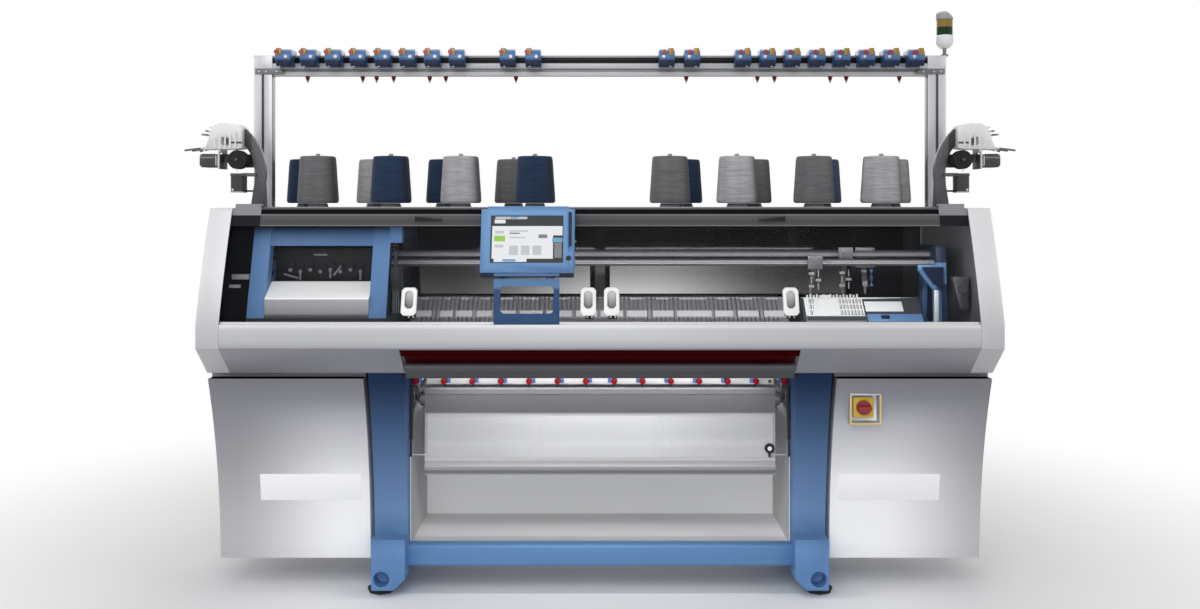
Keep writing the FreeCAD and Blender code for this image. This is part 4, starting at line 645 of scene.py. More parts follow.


# Painted shade: the legs darken under the case and in a band at the ledge over the feet.
leg_shade_tone = by_height("leg_blue", 0.0, 0.77, [
    (0.0, (0.12, 0.245, 0.47)), (0.21, (0.12, 0.245, 0.47)), (0.26, (0.09, 0.18, 0.345)),
    (0.36, (0.135, 0.24, 0.43)), (0.49, (0.112, 0.195, 0.37)), (0.62, (0.08, 0.148, 0.283)),
    (0.75, (0.046, 0.092, 0.193)), (0.88, (0.021, 0.043, 0.102)), (0.96, (0.007, 0.022, 0.06)),
], mirror=0.12)
paint(finished["leg_frame"], leg_shade_tone)
# Painted light and shade: the lower covers darken to their tops and brighten to the floor.
cover_foot, cover_top = 0.11, 0.76
cover_tone = by_height("lower_cover_tone", cover_foot, cover_top, [
    (0.0, (0.5, 0.502, 0.53)), (0.25, (0.44, 0.442, 0.47)), (0.56, (0.31, 0.312, 0.335)),
    (0.87, (0.205, 0.206, 0.235)), (0.96, (0.17, 0.17, 0.195)),
])
tree = cover_tone.node_tree
shader = shader_of(cover_tone)
outer_shade = shader.inputs["Base Color"].links[0].from_socket
inner_shade = height_tone(tree, cover_foot, cover_top, [
    (0.0, (0.93, 0.935, 0.945)), (0.25, (0.9, 0.905, 0.915)), (0.42, (0.85, 0.855, 0.865)),
    (0.57, (0.64, 0.645, 0.665)), (0.72, (0.48, 0.485, 0.52)), (0.87, (0.24, 0.242, 0.275)),
    (0.96, (0.18, 0.18, 0.205)),
])
# Painted light: the covers are brighter toward the machine's middle.
centred = step(tree, "ABSOLUTE", step(tree, "SUBTRACT", axes(tree)["X"], 0.05))
inward = span(tree, centred, 0.89, 1.31, 1.0, 0.0)
tree.links.new(blend_nodes(tree, inward, outer_shade, inner_shade), shader.inputs["Base Color"])
paint(finished["lower_covers"], cover_tone)
header_low, header_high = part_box("window_header")
header_tone = by_height("header_tone", header_low.z, header_high.z, [
    (0.0, (0.15, 0.15, 0.155)), (0.06, (0.08, 0.08, 0.083)), (0.3, (0.1, 0.1, 0.103)),
    (0.47, (0.16, 0.16, 0.165)), (0.54, (0.008, 0.008, 0.009)), (0.75, (0.09, 0.09, 0.093)),
    (0.92, (0.3, 0.3, 0.31)),
], rough=0.45, metal=0.0, steps=True, zones=both_sides([
    (1.126, 1.24, 1.24, 1.284, (0.02, 0.02, 0.024)), (1.126, 1.24, 1.284, 1.33, (0.25, 0.25, 0.27)),
]), mirror=0.0)
paint(finished["window_header"], header_tone)
print("header band", round(header_low.z, 3), "to", round(header_high.z, 3))

# %% [markdown]
# The front panes are clear, but the panes of the rear cover are smoked: seen from the front, the
# back of the machine is dark above and grey below, where light falls on the inside of the rear
# cover. The faces at the back of the pane solid take a second finish.

# %% Two kinds of pane
panes = finished["fixed_panes"]
panes.data.materials.append(finishes["smoked_sheet"])
smoked_faces = give(panes, 1, lambda face: face.center.y > 0)
print("smoked faces", smoked_faces, "of", len(panes.data.polygons))
inner_tone = by_height("inner_wall_tone", 0.86, 1.3, [
    (0.0, (0.075, 0.076, 0.082)), (0.3, (0.055, 0.056, 0.06)), (0.5, (0.035, 0.036, 0.04)),
    (0.54, (0.01, 0.0105, 0.012)), (1.0, (0.008, 0.0085, 0.01)),
], zones=[(-0.022, 0.022, 0.94, 1.088, (0.2, 0.202, 0.21))], mirror=0.1)
rear = finished["rear_covers"]
rear.data.materials.append(inner_tone)
print("inner faces of the rear cover", give(rear, 1, lambda face: face.normal.y < -0.5))

# %% [markdown]
# Light from behind the machine comes through the lower middle of the smoked panes, where the
# photograph shows a pale glow. This glow is painted light: the pane is made more open there, less
# so toward the sides and the top, so that the white behind it shows through, and two thin lines
# are opened a little more.

# %% Where the smoked pane lets light through
smoked = finishes["smoked_sheet"]
tree = smoked.node_tree
spot = axes(tree)
# Painted light: the openness of the pane stands for a pale glow behind it.
middle_off = step(tree, "ABSOLUTE", step(tree, "SUBTRACT", spot["X"], 0.11))
sideways = span(tree, middle_off, 0.05, 0.75, 1.0, 0.0)
upward = span(tree, spot["Z"], 0.94, 1.1, 0.5, 0.34)
even = span(tree, spot["Z"], 0.94, 1.09, 0.26, 0.14)
below = step(tree, "LESS_THAN", spot["Z"], 1.088)
glow = step(tree, "ADD", step(tree, "MULTIPLY", sideways, upward), even)
glow = step(tree, "MAXIMUM", step(tree, "MULTIPLY", glow, below), 0.008)
# Painted light: two thin lines are made a little more open.
for edge in (1.160, 1.208):
    line = step(tree, "COMPARE", spot["Z"], edge, 0.004)
    inner = step(tree, "COMPARE", spot["X"], 0.22, 0.24)
    lit_line = step(tree, "MULTIPLY", step(tree, "MULTIPLY", line, inner), 0.06)
    glow = step(tree, "ADD", glow, lit_line)
tree.links.new(step(tree, "SUBTRACT", 1.0, glow), shader_of(smoked).inputs["Alpha"])
print("pane opens round x = 0.11")

# %% [markdown]
# The right end of the inside is lit more than the left one, where the parked carriage stands in
# the way. The inner walls of the end covers show this as painted light and shade: a lighter tone
# that brightens upward on the right and a dark one on the left.

# %% Inner walls of the end covers
# Painted light on the right inner wall, painted shade on the left one.
wall_light = by_height("inner_end_light", 0.9, 1.27, [
    (0.0, (0.1, 0.1, 0.105)), (0.5, (0.2, 0.202, 0.21)), (1.0, (0.3, 0.302, 0.315)),
])
wall_dark = finish("inner_end_dark", (0.03, 0.033, 0.045), 0.6)
ends = finished["end_covers"]
for material in (wall_light, wall_dark, inner_tone):
    ends.data.materials.append(material)
wall_area = 0.01
give(ends, 1, lambda face: face.center.x > 0 and face.normal.x < -0.8 and face.area > wall_area)
give(ends, 2, lambda face: face.center.x <= 0 and face.normal.x > 0.8 and face.area > wall_area)
give(ends, 3, lambda face: face.normal.y < -0.8 and face.center.y > 0.4)
print("faces of the end covers", len(ends.data.polygons))

# %% [markdown]
# The end covers and the strip over the start bar lose light toward their lower edges: both take a
# painted shade by height. The strip has a painted highlight on its upper edge, where its sheet is
# folded. The apron is dark red behind the start bar, so that the bar reads as one deep red band.

# %% Tones of the end covers and the front strip
end_tone = by_height("end_tone", 0.86, 1.2, [
    (0.0, (0.43, 0.432, 0.45)), (0.25, (0.5, 0.502, 0.52)), (0.45, (0.57, 0.573, 0.59)),
    (0.7, (0.66, 0.665, 0.68)),
], rough=0.3, metal=0.0)
ends.data.materials[0] = end_tone
# Painted highlight: the light band near the top of the strip is the lit fold of its sheet.
strip_tone = by_height("front_strip_tone", 0.858, 0.943, [
    (0.0, (0.34, 0.345, 0.37)), (0.12, (0.39, 0.395, 0.42)), (0.3, (0.45, 0.455, 0.48)),
    (0.72, (0.46, 0.465, 0.49)), (0.84, (0.6, 0.605, 0.62)), (0.95, (0.55, 0.555, 0.57)),
], rough=0.4)
paint(finished["front_cover"], strip_tone)
plain_apron = (0.27, 0.272, 0.3)
apron_tone = by_height(
    "apron_tone", 0.76, 0.88, [(0.0, plain_apron), (1.0, plain_apron)], metal=0.3,
    zones=[(-0.6415, 0.6415, 0.7945, 0.8305, (0.07, 0.0005, 0.0028))])
paint(finished["front_apron"], apron_tone)
gloss(finishes["bar_red"], 0.0)
print("strip and ends toned")


# %% [markdown]
# ## Wound cones
#
# A cone is yarn laid in crossing spirals on a paper tube. Modelling every turn would take millions
# of faces, and a flat texture would look printed. So the body is a spun outline with soft
# shoulders, and the crossing turns are two waves on a map that runs round the cone and up it, as
# colour and relief.

# %% Where each loose solid of a node is
def islands(name):
    """The lowest and highest corner of each loose solid of a node, from left to right."""
    mesh = bmesh.new()
    mesh.from_mesh(nodes[name].data)
    bmesh.ops.remove_doubles(mesh, verts=mesh.verts, dist=2e-6)
    left = set(mesh.verts)
    boxes = []
    while left:
        group = [left.pop()]
        for vertex in group:
            for edge in vertex.link_edges:
                other = edge.other_vert(vertex)
                if other in left:
                    left.remove(other)
                    group.append(other)
        low = Vector([min(v.co[k] for v in group) for k in range(3)])
        high = Vector([max(v.co[k] for v in group) for k in range(3)])
        boxes.append((low, high))
    mesh.free()
    return sorted(boxes, key=lambda pair: pair[0].x)


def wrap_map(thing, centre, low, high):
    """A map with the share of a turn round the centre, and of the height."""
    layer = thing.data.uv_layers.new(name="round")
    for face in thing.data.polygons:
        turns = []
        for index in face.loop_indices:
            point = thing.data.vertices[thing.data.loops[index].vertex_index].co
            turns.append(math.atan2(point.y - centre.y, point.x - centre.x) / (2 * math.pi))
        if max(turns) - min(turns) > 0.5:
            turns = [turn + 1 if turn < 0 else turn for turn in turns]
        for index, turn in zip(face.loop_indices, turns):
            point = thing.data.vertices[thing.data.loops[index].vertex_index].co
            layer.data[index].uv = (turn, (point.z - low) / (high - low))


# %% [markdown]
# Yarn is matt and fuzzy, so its finish has a high roughness and a little sheen.

# %% The look of wound yarn
crossings = 4    # times that a turn of yarn goes round on its way up
layers = 46      # turns that lie over each other up the cone


def wound(name, colour):
    """Crossing turns of yarn, as two waves on the map round the cone."""
    material = finish(name, colour, 0.9, relief=0.0)
    tree = material.node_tree
    shader = shader_of(material)
    place = tree.nodes.new("ShaderNodeTexCoord")
    turns = []
    for side in (-1, 1):
        slant = tree.nodes.new("ShaderNodeMapping")
        slant.inputs["Scale"].default_value = (
            side * crossings * math.pi / 5, layers * math.pi / 5, 1,
        )
        wave = tree.nodes.new("ShaderNodeTexWave")
        wave.wave_type = "BANDS"
        wave.bands_direction = "DIAGONAL"
        wave.inputs["Scale"].default_value = 1.0
        wave.inputs["Distortion"].default_value = 0.0
        tree.links.new(place.outputs["UV"], slant.inputs["Vector"])
        tree.links.new(slant.outputs["Vector"], wave.inputs["Vector"])
        turns.append(wave.outputs["Fac"])
    fuzz = tone_nodes(tree, 160.0, (1, 1, 2.5))
    mixed = step(tree, "MULTIPLY", step(tree, "MAXIMUM", *turns), fuzz)
    yarn = blend_nodes(tree, span(tree, mixed, 0.1, 0.6, 0.0, 1.0, soft=False),
                       [c * 0.75 for c in colour], [min(1.0, c * 1.2) for c in colour])
    streak = tone_nodes(tree, 60.0, (0.25, 0.25, 3.0))
    faded = span(tree, streak, 0.35, 0.65, 0.55, 0.0, soft=False)
    yarn = blend_nodes(tree, faded, yarn, [c * 0.5 for c in colour])
    # Painted shade: each cone darkens on its right side, away from the light.
    turned = span(tree, axes(tree, "UV")["X"], -0.145, -0.055, 0.0, 0.93)
    yarn = blend_nodes(tree, turned, yarn, [c * 0.08 for c in colour])
    tree.links.new(yarn, shader.inputs["Base Color"])
    bump = tree.nodes["Bump"]
    bump.inputs["Strength"].default_value = 0.5
    bump.inputs["Distance"].default_value = 0.0012
    tree.links.new(mixed, bump.inputs["Height"])
    shader.inputs["Sheen Weight"].default_value = 0.15
    return material


yarns = {
    "grey": wound("yarn_grey", (0.145, 0.14, 0.148)),
    "navy": wound("yarn_navy", (0.02, 0.042, 0.09)),
    "light": wound("yarn_light", (0.44, 0.425, 0.45)),
    "blue": wound("yarn_blue", (0.035, 0.075, 0.16)),
}
card = finish("paper_tube", (0.3, 0.29, 0.27), 0.8)
print("kinds of yarn", len(yarns))

# %% [markdown]
# The outline has a foot, a straight side and a crowned top that sinks to the tube. A few rows of
# faces bulge by less than a millimetre, because wound layers are never quite straight.

# %% Spin a cone and set all sixteen on their pedestals
front_yarns = ("grey", "navy", "light", "navy", "grey", "light", "grey", "light")
rear_yarns = ("navy", "light", "navy", "grey", "navy", "grey", "blue", "light")


def cone(low, high, kind, slot, name):
    """One wound cone in the box of its solid."""
    centre = Vector(((low.x + high.x) / 2, (low.y + high.y) / 2, 0))
    base_r = (high.x - low.x) / 2
    foot = low.z
    top = high.z - 12 * MM
    top_r = base_r - 11 * MM
    outline = [(18 * MM, foot + 2 * MM), (base_r - 9 * MM, foot + 0.5 * MM)]
    outline += [(base_r - 3 * MM, foot + 3 * MM), (base_r - 0.5 * MM, foot + 9 * MM)]
    rows = 14
    for i in range(1, rows):
        share = i / rows
        bulge = 0.7 * MM * math.sin(math.pi * share) + 0.25 * MM * math.sin(9 * share)
        outline.append((base_r + (top_r - base_r) * share + bulge, foot + (top - foot) * share))
    outline += [
        (top_r - 0.3 * MM, top - 4 * MM), (top_r - 2 * MM, top - 0.5 * MM),
        (top_r - 6 * MM, top + 1.5 * MM), (top_r - 24 * MM, top + 2.5 * MM),
        (22 * MM, top + 1.5 * MM), (9 * MM, top - 2 * MM),
    ]
    body = lathe(outline, centre, sides=64)
    wrap_map(body, centre, foot, top)
    settle(body, name, "machine", slot, yarns[kind])
    tube = lathe(
        [
            (5 * MM, top - 20 * MM), (10 * MM, top - 20 * MM), (8 * MM, top + 9 * MM),
            (7.2 * MM, top + 11 * MM), (5.4 * MM, top + 11 * MM), (5 * MM, top - 20 * MM),
        ],
        centre, sides=24,
    )
    settle(tube, name + "_tube", "machine", slot, card)
    return body


places = []
for solid in ("cones_dark", "cones_light"):
    places += [(low, high, solid, slot_of[solid]) for low, high in islands(solid)]
middle_y = sum(low.y for low, high, solid, slot in places) / len(places)
made = 0
for row, kinds in (("front", front_yarns), ("rear", rear_yarns)):
    found = sorted(
        [place for place in places if (place[0].y < middle_y) == (row == "front")],
        key=lambda place: place[0].x,
    )
    for number, ((low, high, solid, slot), kind) in enumerate(zip(found, kinds), 1):
        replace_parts(cone(low, high, kind, slot, f"cone_{row}_{number}"), solid)
        made += 1
print("cones", made)
# %% [markdown]
# ## The yarn stand
#
# The stand is extruded aluminium. Its slots read as dark lines of painted shadow, and the posts
# have a painted shade on their side to the machine's middle. Modelling each undercut slot would be
# exact, but only its shadow shows, so the faces keep their shape and are sorted by place and
# direction into lit and shaded tones.

# %% Tones of the extruded stand
stand = finished["yarn_stand"]
beam_tone = by_height("beam_tone", 1.806, 1.884, [
    (0.0, (0.45, 0.455, 0.47)), (0.19, (0.2, 0.202, 0.21)), (0.33, (0.42, 0.425, 0.44)),
    (0.6, (0.012, 0.0125, 0.014)), (0.89, (0.28, 0.285, 0.295)),
], rough=0.4, metal=0.2, steps=True, mirror=0.15)
# post_dark is the painted shade of the posts, post_light their lit side.
post_dark = finish("post_dark", (0.13, 0.133, 0.142), 0.4, metal=0.5, stretch=(1, 1, 0.05))
post_light = finish("post_light", (0.5, 0.505, 0.52), 0.36, metal=0.4, stretch=(1, 1, 0.05))
paint(stand, beam_tone, post_light, post_dark)
post_inner = 1.24
post_middle_y = 0.1805
for face in stand.data.polygons:
    side = 1 if face.center.x > 0 else -1
    on_beam = abs(face.center.x) < post_inner + 0.0005 and abs(face.normal.x) < 0.5
    in_shade = (face.normal.x * side < -0.3
                or (face.normal.y < -0.5 and face.center.y > post_middle_y))
    face.material_index = 0 if on_beam else 2 if in_shade else 1
print("stand faces", len(stand.data.polygons))

# %% [markdown]
# Steel corner plates tie the beam to the posts. Each is a flat box with eased edges and three
# screws, and a light plate covers the end of the beam above it.

# %% Corner plates
def screw_head(place, normal, radius=0.004, height=0.003, sides=20):
    """A cylinder head with a pressed round recess, on a face that looks along the normal."""
    place = Vector(place)
    normal = Vector(normal).normalized()
    head = rod(radius, place, place + normal * height, sides)
    choose(head, lambda face: (face.calc_center_median() - place).dot(normal) > height * 0.9)
    bpy.ops.mesh.inset(thickness=radius * 0.45)
    bpy.ops.transform.translate(value=-normal * height * 0.6)
    return close_mesh(head)


corner_plates = bevel(join(twin_blocks((1.2, 0.1745, 1.812), (1.304, 0.1782, 1.832))), 0.0008)
settle(corner_plates, "corner_plates", "machine", "aluminium_profile", post_dark)
plate_screws = [screw_head((side * x, 0.1746, 1.822), (0, -1, 0))
                for side in (-1, 1) for x in (1.222, 1.262, 1.288)]
settle(join(plate_screws), "corner_screws", "machine", "steel_bright", finishes["screw_steel"])
ends = twin_blocks((1.2395, 0.1768, 1.833), (1.3095, 0.1802, 1.883))
settle(bevel(join(ends), 0.0008), "beam_ends", "machine", "aluminium_profile", post_light)
print("corner plates", len(corner_plates.data.polygons))

# %% [markdown]
# ## The signal lamp
#
# A stack of turned parts: a white foot, a green lens under a yellow one, and a grey cap. Each is an
# outline spun round the stand's lamp axis, because spun parts keep their edges round at any zoom.

# %% Turned lamp
lamp_low, lamp_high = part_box("lamp_housing")
lens_low, lens_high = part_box("lamp_lenses")
lamp_x = (lamp_low.x + lamp_high.x) / 2
lamp_y = (lamp_low.y + lamp_high.y) / 2
lamp_centre = Vector((lamp_x, lamp_y, 0))
lamp_r = (lamp_high.x - lamp_low.x) / 2
lens_r = lamp_r - 0.002
split = (lens_low.z + lens_high.z) / 2


def ribbed(radius, low, high, ribs=6, depth=0.0009):
    """The outline of a ribbed lens."""
    points = [(0, low)]
    pitch = (high - low) / ribs
    for i in range(ribs):
        z = low + i * pitch
        points += [(radius - depth, z), (radius, z + pitch * 0.35), (radius, z + pitch * 0.65)]
    points += [(radius - depth, high), (0, high)]
    return points


foot_line = [
    (0, 1.912), (0.014, 1.912), (0.02, 1.916), (lamp_r - 0.004, 1.926), (lamp_r, 1.932),
    (lamp_r, lens_low.z - 0.004), (lamp_r - 0.003, lens_low.z), (0, lens_low.z),
]
cap_line = [
    (0, lens_high.z), (lamp_r - 0.001, lens_high.z), (lamp_r, lens_high.z + 0.003),
    (lamp_r, lamp_high.z - 0.008), (lamp_r - 0.004, lamp_high.z - 0.003),
    (lamp_r - 0.012, lamp_high.z),
    (0, lamp_high.z),
]
finish("lamp_cap", (0.3, 0.305, 0.32), 0.4)
finish("stem_grey", (0.12, 0.122, 0.13), 0.4, metal=0.5)
finish("lens_green", (0.004, 0.03, 0.003), 0.3, tone=0.1)
finish("lens_amber", (0.2, 0.125, 0.006), 0.3, tone=0.1)
foot = settle(lathe(foot_line, lamp_centre), "lamp_foot", "machine", "lamp_white")
cap = lathe(cap_line, lamp_centre)
open_mesh(cap)
bpy.ops.mesh.bisect(
    plane_co=(lamp_x - lamp_r * 0.1, lamp_y, lamp_high.z), plane_no=(0.62, 0, 0.78),
    use_fill=True, clear_outer=True,
)
close_mesh(cap)
settle(smooth(cap), "lamp_cap", "machine", "lamp_white", finishes["lamp_cap"])
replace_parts(foot, "lamp_housing")
green = lathe(ribbed(lens_r, lens_low.z, split), lamp_centre)
settle(green, "lamp_green_lens", "machine", "lens_yellow_green", finishes["lens_green"])
amber = lathe(ribbed(lens_r, split, lens_high.z), lamp_centre)
settle(amber, "lamp_amber_lens", "machine", "lens_yellow_green", finishes["lens_amber"])
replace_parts(green, "lamp_lenses")
stem = rod(0.0068, (lamp_x, lamp_y, lamp_low.z), (lamp_x, lamp_y, 1.9125), 32)
collar = rod(0.014, (lamp_x, lamp_y, lamp_low.z), (lamp_x, lamp_y, lamp_low.z + 0.006), 32)
settle(join([stem, collar]), "lamp_stem", "machine", "lamp_white", finishes["stem_grey"])
print("lamp from", round(lamp_low.z, 3), "to", round(lamp_high.z, 3))

# %% [markdown]
# ## Yarn controllers
#
# Twenty equal units feel each yarn for knots and keep it taut. The CAD housing keeps its shape, and
# on its face come a darker lower mouth, an amber light, a red dial with a grip, two tension discs
# on a pin and an eyelet. These are modelled once for each half, with the light on the outer side,
# and copied to the places of the units.

# %% Parts of one controller
unit_boxes = islands("controller_bodies")
unit_low, unit_high = unit_boxes[0]
unit_wide = unit_high.x - unit_low.x


def knurled(radius, start, end, ridges=24, depth=0.12):
    """A round grip whose every second side line is pulled in."""
    grip = rod(radius, start, end, ridges * 2)
    axis = (Vector(end) - Vector(start)).normalized()
    for i, vertex in enumerate(grip.data.vertices):
        if (i // 2) % 2:
            along = axis * (vertex.co - Vector(start)).dot(axis)
            out = vertex.co - Vector(start) - along
            vertex.co = Vector(start) + along + out * (1 - depth)
    return grip


def controller_parts(low, side):
    """Light, dial, mouth, discs and eyelet of a controller whose lower left front corner is low."""
    def at(share, depth, height):
        """A place on the front face: share of its width, depth before it, height on it."""
        x = low.x + unit_wide * (share if side < 0 else 1 - share)
        return Vector((x, low.y - depth, low.z + height))

    lamp_from, lamp_to = sorted([at(0.08, 0, 0).x, at(0.42, 0, 0).x])
    light = bevel(block(
        (lamp_from, low.y - 0.0025, low.z + 0.04), (lamp_to, low.y + 0.05, low.z + 0.0665),
    ), 0.002)
    dial_x = low.x + unit_wide * (0.1 if side < 0 else 0.33)
    dial_z = low.z + 0.052
    dial = knurled(0.0085, (dial_x, low.y + 0.001, dial_z), (dial_x, low.y - 0.0055, dial_z), 12)
    mouth = bevel(block(
        (low.x + unit_wide * 0.1, low.y - 0.0015, low.z + 0.002),
        (low.x + unit_wide * 0.95, low.y + 0.004, low.z + 0.02),
    ), 0.001)
    bright = []
    for depth in (0.0015, 0.0045):
        place = at(0.72, depth, 0.034)
        bright.append(rod(0.0062, place, place - Vector((0, 0.0012, 0)), 24))
    bright.append(rod(0.0016, at(0.72, -0.002, 0.034), at(0.72, 0.0075, 0.034), 12))
    eye = at(0.3, 0.004, -0.004)
    let_go()
    bpy.ops.mesh.primitive_torus_add(
        location=eye, major_radius=0.0045, minor_radius=0.0011, major_segments=20, minor_segments=8,
    )
    bright.append(bpy.context.object)
    bright.append(rod(0.0012, eye + Vector((0, 0.004, 0)), at(0.3, -0.006, 0.006), 8))
    return {"light": light, "dial": dial, "mouth": mouth, "bright": join(bright)}


# %% Twenty controllers
models = {side: controller_parts(unit_low, side) for side in (-1, 1)}
sets = {kind: [] for kind in models[1]}
for low, high in unit_boxes:
    side = -1 if low.x < 0 else 1
    for kind, model in models[side].items():
        sets[kind].append(copied(model, low - unit_low))
for parts in models.values():
    for model in parts.values():
        bpy.data.objects.remove(model)
finish("cap_amber", (0.27, 0.145, 0.006), 0.3, tone=0.12, coat=0.4)
finish("mouth_navy", (0.012, 0.018, 0.045), 0.4)
finish("dial_deep", (0.3, 0.004, 0.02), 0.35, coat=0.2)
lights = settle(join(sets["light"]), "controller_lights", "machine", "cap_yellow",
                finishes["cap_amber"])
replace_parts(lights, "controller_caps")
bpy.data.objects.remove(finished.pop("controller_caps"))
dials = settle(smooth(join(sets["dial"])), "controller_grips", "machine", "dial_red",
               finishes["dial_deep"])
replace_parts(dials, "controller_dials")
settle(join(sets["mouth"]), "controller_mouths", "machine", "housing_blue", finishes["mouth_navy"])
settle(smooth(join(sets["bright"])), "controller_discs", "machine", "steel_bright", post_light)
print("controllers", len(unit_boxes))

# %% [markdown]
# Each housing brightens to its top edge, where the light falls, and is near navy below.

# %% Housing tone
housing_tone = by_height("controller_blue", unit_low.z, unit_high.z, [
    (0.0, (0.018, 0.034, 0.085)), (0.3, (0.04, 0.085, 0.19)), (0.55, (0.085, 0.165, 0.33)),
    (0.8, (0.075, 0.14, 0.28)), (1.0, (0.15, 0.25, 0.42)),
], rough=0.35)
paint(finished["controller_bodies"], housing_tone)

# %% [markdown]
# ## Yarn eyes under the beam
#
# Under the beam hang moulded eyes: a small dark red bell over a ceramic ring. They are turned, too.

# %% Turned eyes
guide_boxes = islands("yarn_guides")
bell_line = [
    (0, 0.0245), (0.0085, 0.0245), (0.0085, 0.018), (0.007, 0.0165), (0.005, 0.009), (0.003, 0.007),
    (0, 0.007),
]
ring_line = [(0.0018, 0.007), (0.0032, 0.0065), (0.0038, 0.003), (0.003, 0.0), (0.0018, 0.0005)]
bell = lathe(bell_line, (0, 0, 0), sides=24)
ring = lathe(ring_line + ring_line[:1], (0, 0, 0), sides=20)
bases = [Vector(((low.x + high.x) / 2, (low.y + high.y) / 2, low.z)) for low, high in guide_boxes]
bells = [copied(bell, base) for base in bases]
rings = [copied(ring, base) for base in bases]
bpy.data.objects.remove(bell)
bpy.data.objects.remove(ring)
finish("ceramic", (0.4, 0.4, 0.42), 0.3, coat=0.3)
bells = settle(join(bells), "eye_bells", "machine", "guide_dark")
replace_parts(bells, "yarn_guides")
settle(join(rings), "eye_rings", "machine", "guide_dark", finishes["ceramic"])
print("yarn eyes", len(guide_boxes))

# %% [markdown]
# ## The operator's screen
#
# The screen hangs in front of the panes and leans back. Its picture could be one texture, but thin
# plates keep their edges sharp at any zoom: a dark head strip, a pale page, keys in green and blue,
# and grey fields. Each is placed by its shares of the glass, along the glass's own slope.

# %% Page on the glass
glass_low, glass_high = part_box("screen_panel")
lean_run = Vector((0, 0.2790, 0.9603))
lean_out = Vector((0, -0.9603, 0.2790))
glass_wide = glass_high.x - glass_low.x
glass_tall = (glass_high.z - glass_low.z - 0.002) / lean_run.z
glass_corner = Vector((glass_low.x, glass_low.y + 0.00012, glass_low.z + 0.0006))


def on_glass(across, up, out=0.0):
    """A place on the glass, from shares of its width and height."""
    return (glass_corner + Vector((across * glass_wide, 0, 0)) + lean_run * (up * glass_tall)
            + lean_out * out)


def tile(across, up, level):
    """A thin plate on the glass between two shares of its width and two of its height."""
    let_go()
    bpy.ops.mesh.primitive_cube_add(size=1)
    plate = bpy.context.object
    low = on_glass(across[0], up[0], 0.0001)
    corner = [low, on_glass(across[1], up[0], 0.0001), on_glass(across[0], up[1], 0.0001)]
    side = corner[1] - low
    rise = corner[2] - low
    top = lean_out * (0.0004 + level * 0.0003)
    for vertex in plate.data.vertices:
        x, y, z = (value + 0.5 for value in vertex.co)
        vertex.co = low + side * x + rise * z + top * (1 - y)
    return plate


def lit(name, colour, glow):
    """A finish that gives off a little light of its own colour."""
    material = finish(name, colour, 0.4, tone=0.02, relief=0.0)
    shader = shader_of(material)
    shader.inputs["Emission Color"].default_value = (*colour, 1)
    shader.inputs["Emission Strength"].default_value = glow
    return material


lit("page_white", (0.62, 0.63, 0.65), 0.12)
lit("page_grey", (0.4, 0.41, 0.43), 0.1)
lit("page_shade", (0.13, 0.135, 0.145), 0.05)
lit("page_green", (0.2, 0.42, 0.02), 0.1)
lit("page_blue", (0.09, 0.25, 0.4), 0.1)
layout = {
    "page_white": [((0.02, 0.86), (0.08, 0.78), 0), ((0.86, 0.99), (0.58, 0.78), 0),
                   ((0.05, 0.5), (0.012, 0.08), 0), ((0.05, 0.2), (0.84, 0.92), 0)],
    "page_grey": [((0.06, 0.18), (0.62, 0.68), 1), ((0.26, 0.52), (0.66, 0.69), 1),
                  ((0.26, 0.48), (0.52, 0.55), 1), ((0.06, 0.18), (0.32, 0.38), 1),
                  ((0.26, 0.38), (0.16, 0.36), 1), ((0.42, 0.54), (0.16, 0.36), 1),
                  ((0.58, 0.7), (0.16, 0.36), 1), ((0.06, 0.5), (0.93, 0.985), 0)],
    "page_shade": [((0.66, 0.78), (0.52, 0.6), 1), ((0.88, 0.98), (0.1, 0.42), 1),
                   ((0.26, 0.4), (0.61, 0.64), 1)],
    "page_green": [((0.05, 0.2), (0.45, 0.57), 1)],
    "page_blue": [((0.85, 0.99), (0.43, 0.53), 1), ((0.17, 0.35), (0.02, 0.07), 1),
                  ((0.27, 0.37), (0.94, 0.98), 1)],
}
for name, tiles in layout.items():
    page = join([tile(*place) for place in tiles])
    settle(page, "screen_" + name, "screen", "screen_dark", finishes[name])
gloss(finishes["screen_dark"], 0.15)
print("plates on the page", sum(len(tiles) for tiles in layout.values()))

# %% [markdown]
# The frame has a dark card slot and a small lamp on its right. Under it are a darker lip with a
# blue strip, and the hanger's plate, which is a shade darker than the frame. Both tones change with
# height.

# %% Slot, lamp and lip
frame_tone = by_height("screen_frame_tone", 1.08, 1.315, [
    (0.0, (0.02, 0.045, 0.12)), (0.06, (0.08, 0.17, 0.335)), (0.5, (0.095, 0.2, 0.375)),
    (1.0, (0.11, 0.225, 0.41)),
], rough=0.36, mirror=0.25)
hanger_tone = by_height("hanger_tone", 0.935, 1.098, [
    (0.0, (0.028, 0.068, 0.16)), (0.68, (0.03, 0.072, 0.17)), (0.74, (0.1, 0.2, 0.37)),
    (1.0, (0.08, 0.16, 0.31)),
], rough=0.4, metal=0.0, mirror=0.1)
paint(finished["screen_housing"], frame_tone)
paint(finished["screen_bracket"], hanger_tone)
slot_low = glass_corner + Vector((0.2535, 0, 0)) + lean_run * 0.052
slot_high = glass_corner + Vector((0.2625, 0, 0)) + lean_run * 0.165
slot_plate = block((0, 0, 0), (1, 1, 1))
for vertex in slot_plate.data.vertices:
    x, y, z = vertex.co
    vertex.co = (Vector((slot_low.x + (slot_high.x - slot_low.x) * x, slot_low.y, slot_low.z))
                 + (slot_high - slot_low).project(lean_run) * z + lean_out * (0.013 - 0.004 * y))
settle(bevel(slot_plate, 0.0008), "card_slot", "screen", "screen_dark", finishes["mouth_navy"])
lip_navy = finishes["mouth_navy"]
plate("screen_lip", "screen", "screen_blue", (-0.384, -0.4495, 1.0855), (-0.084, -0.425, 1.0985),
      0.002, lip_navy)
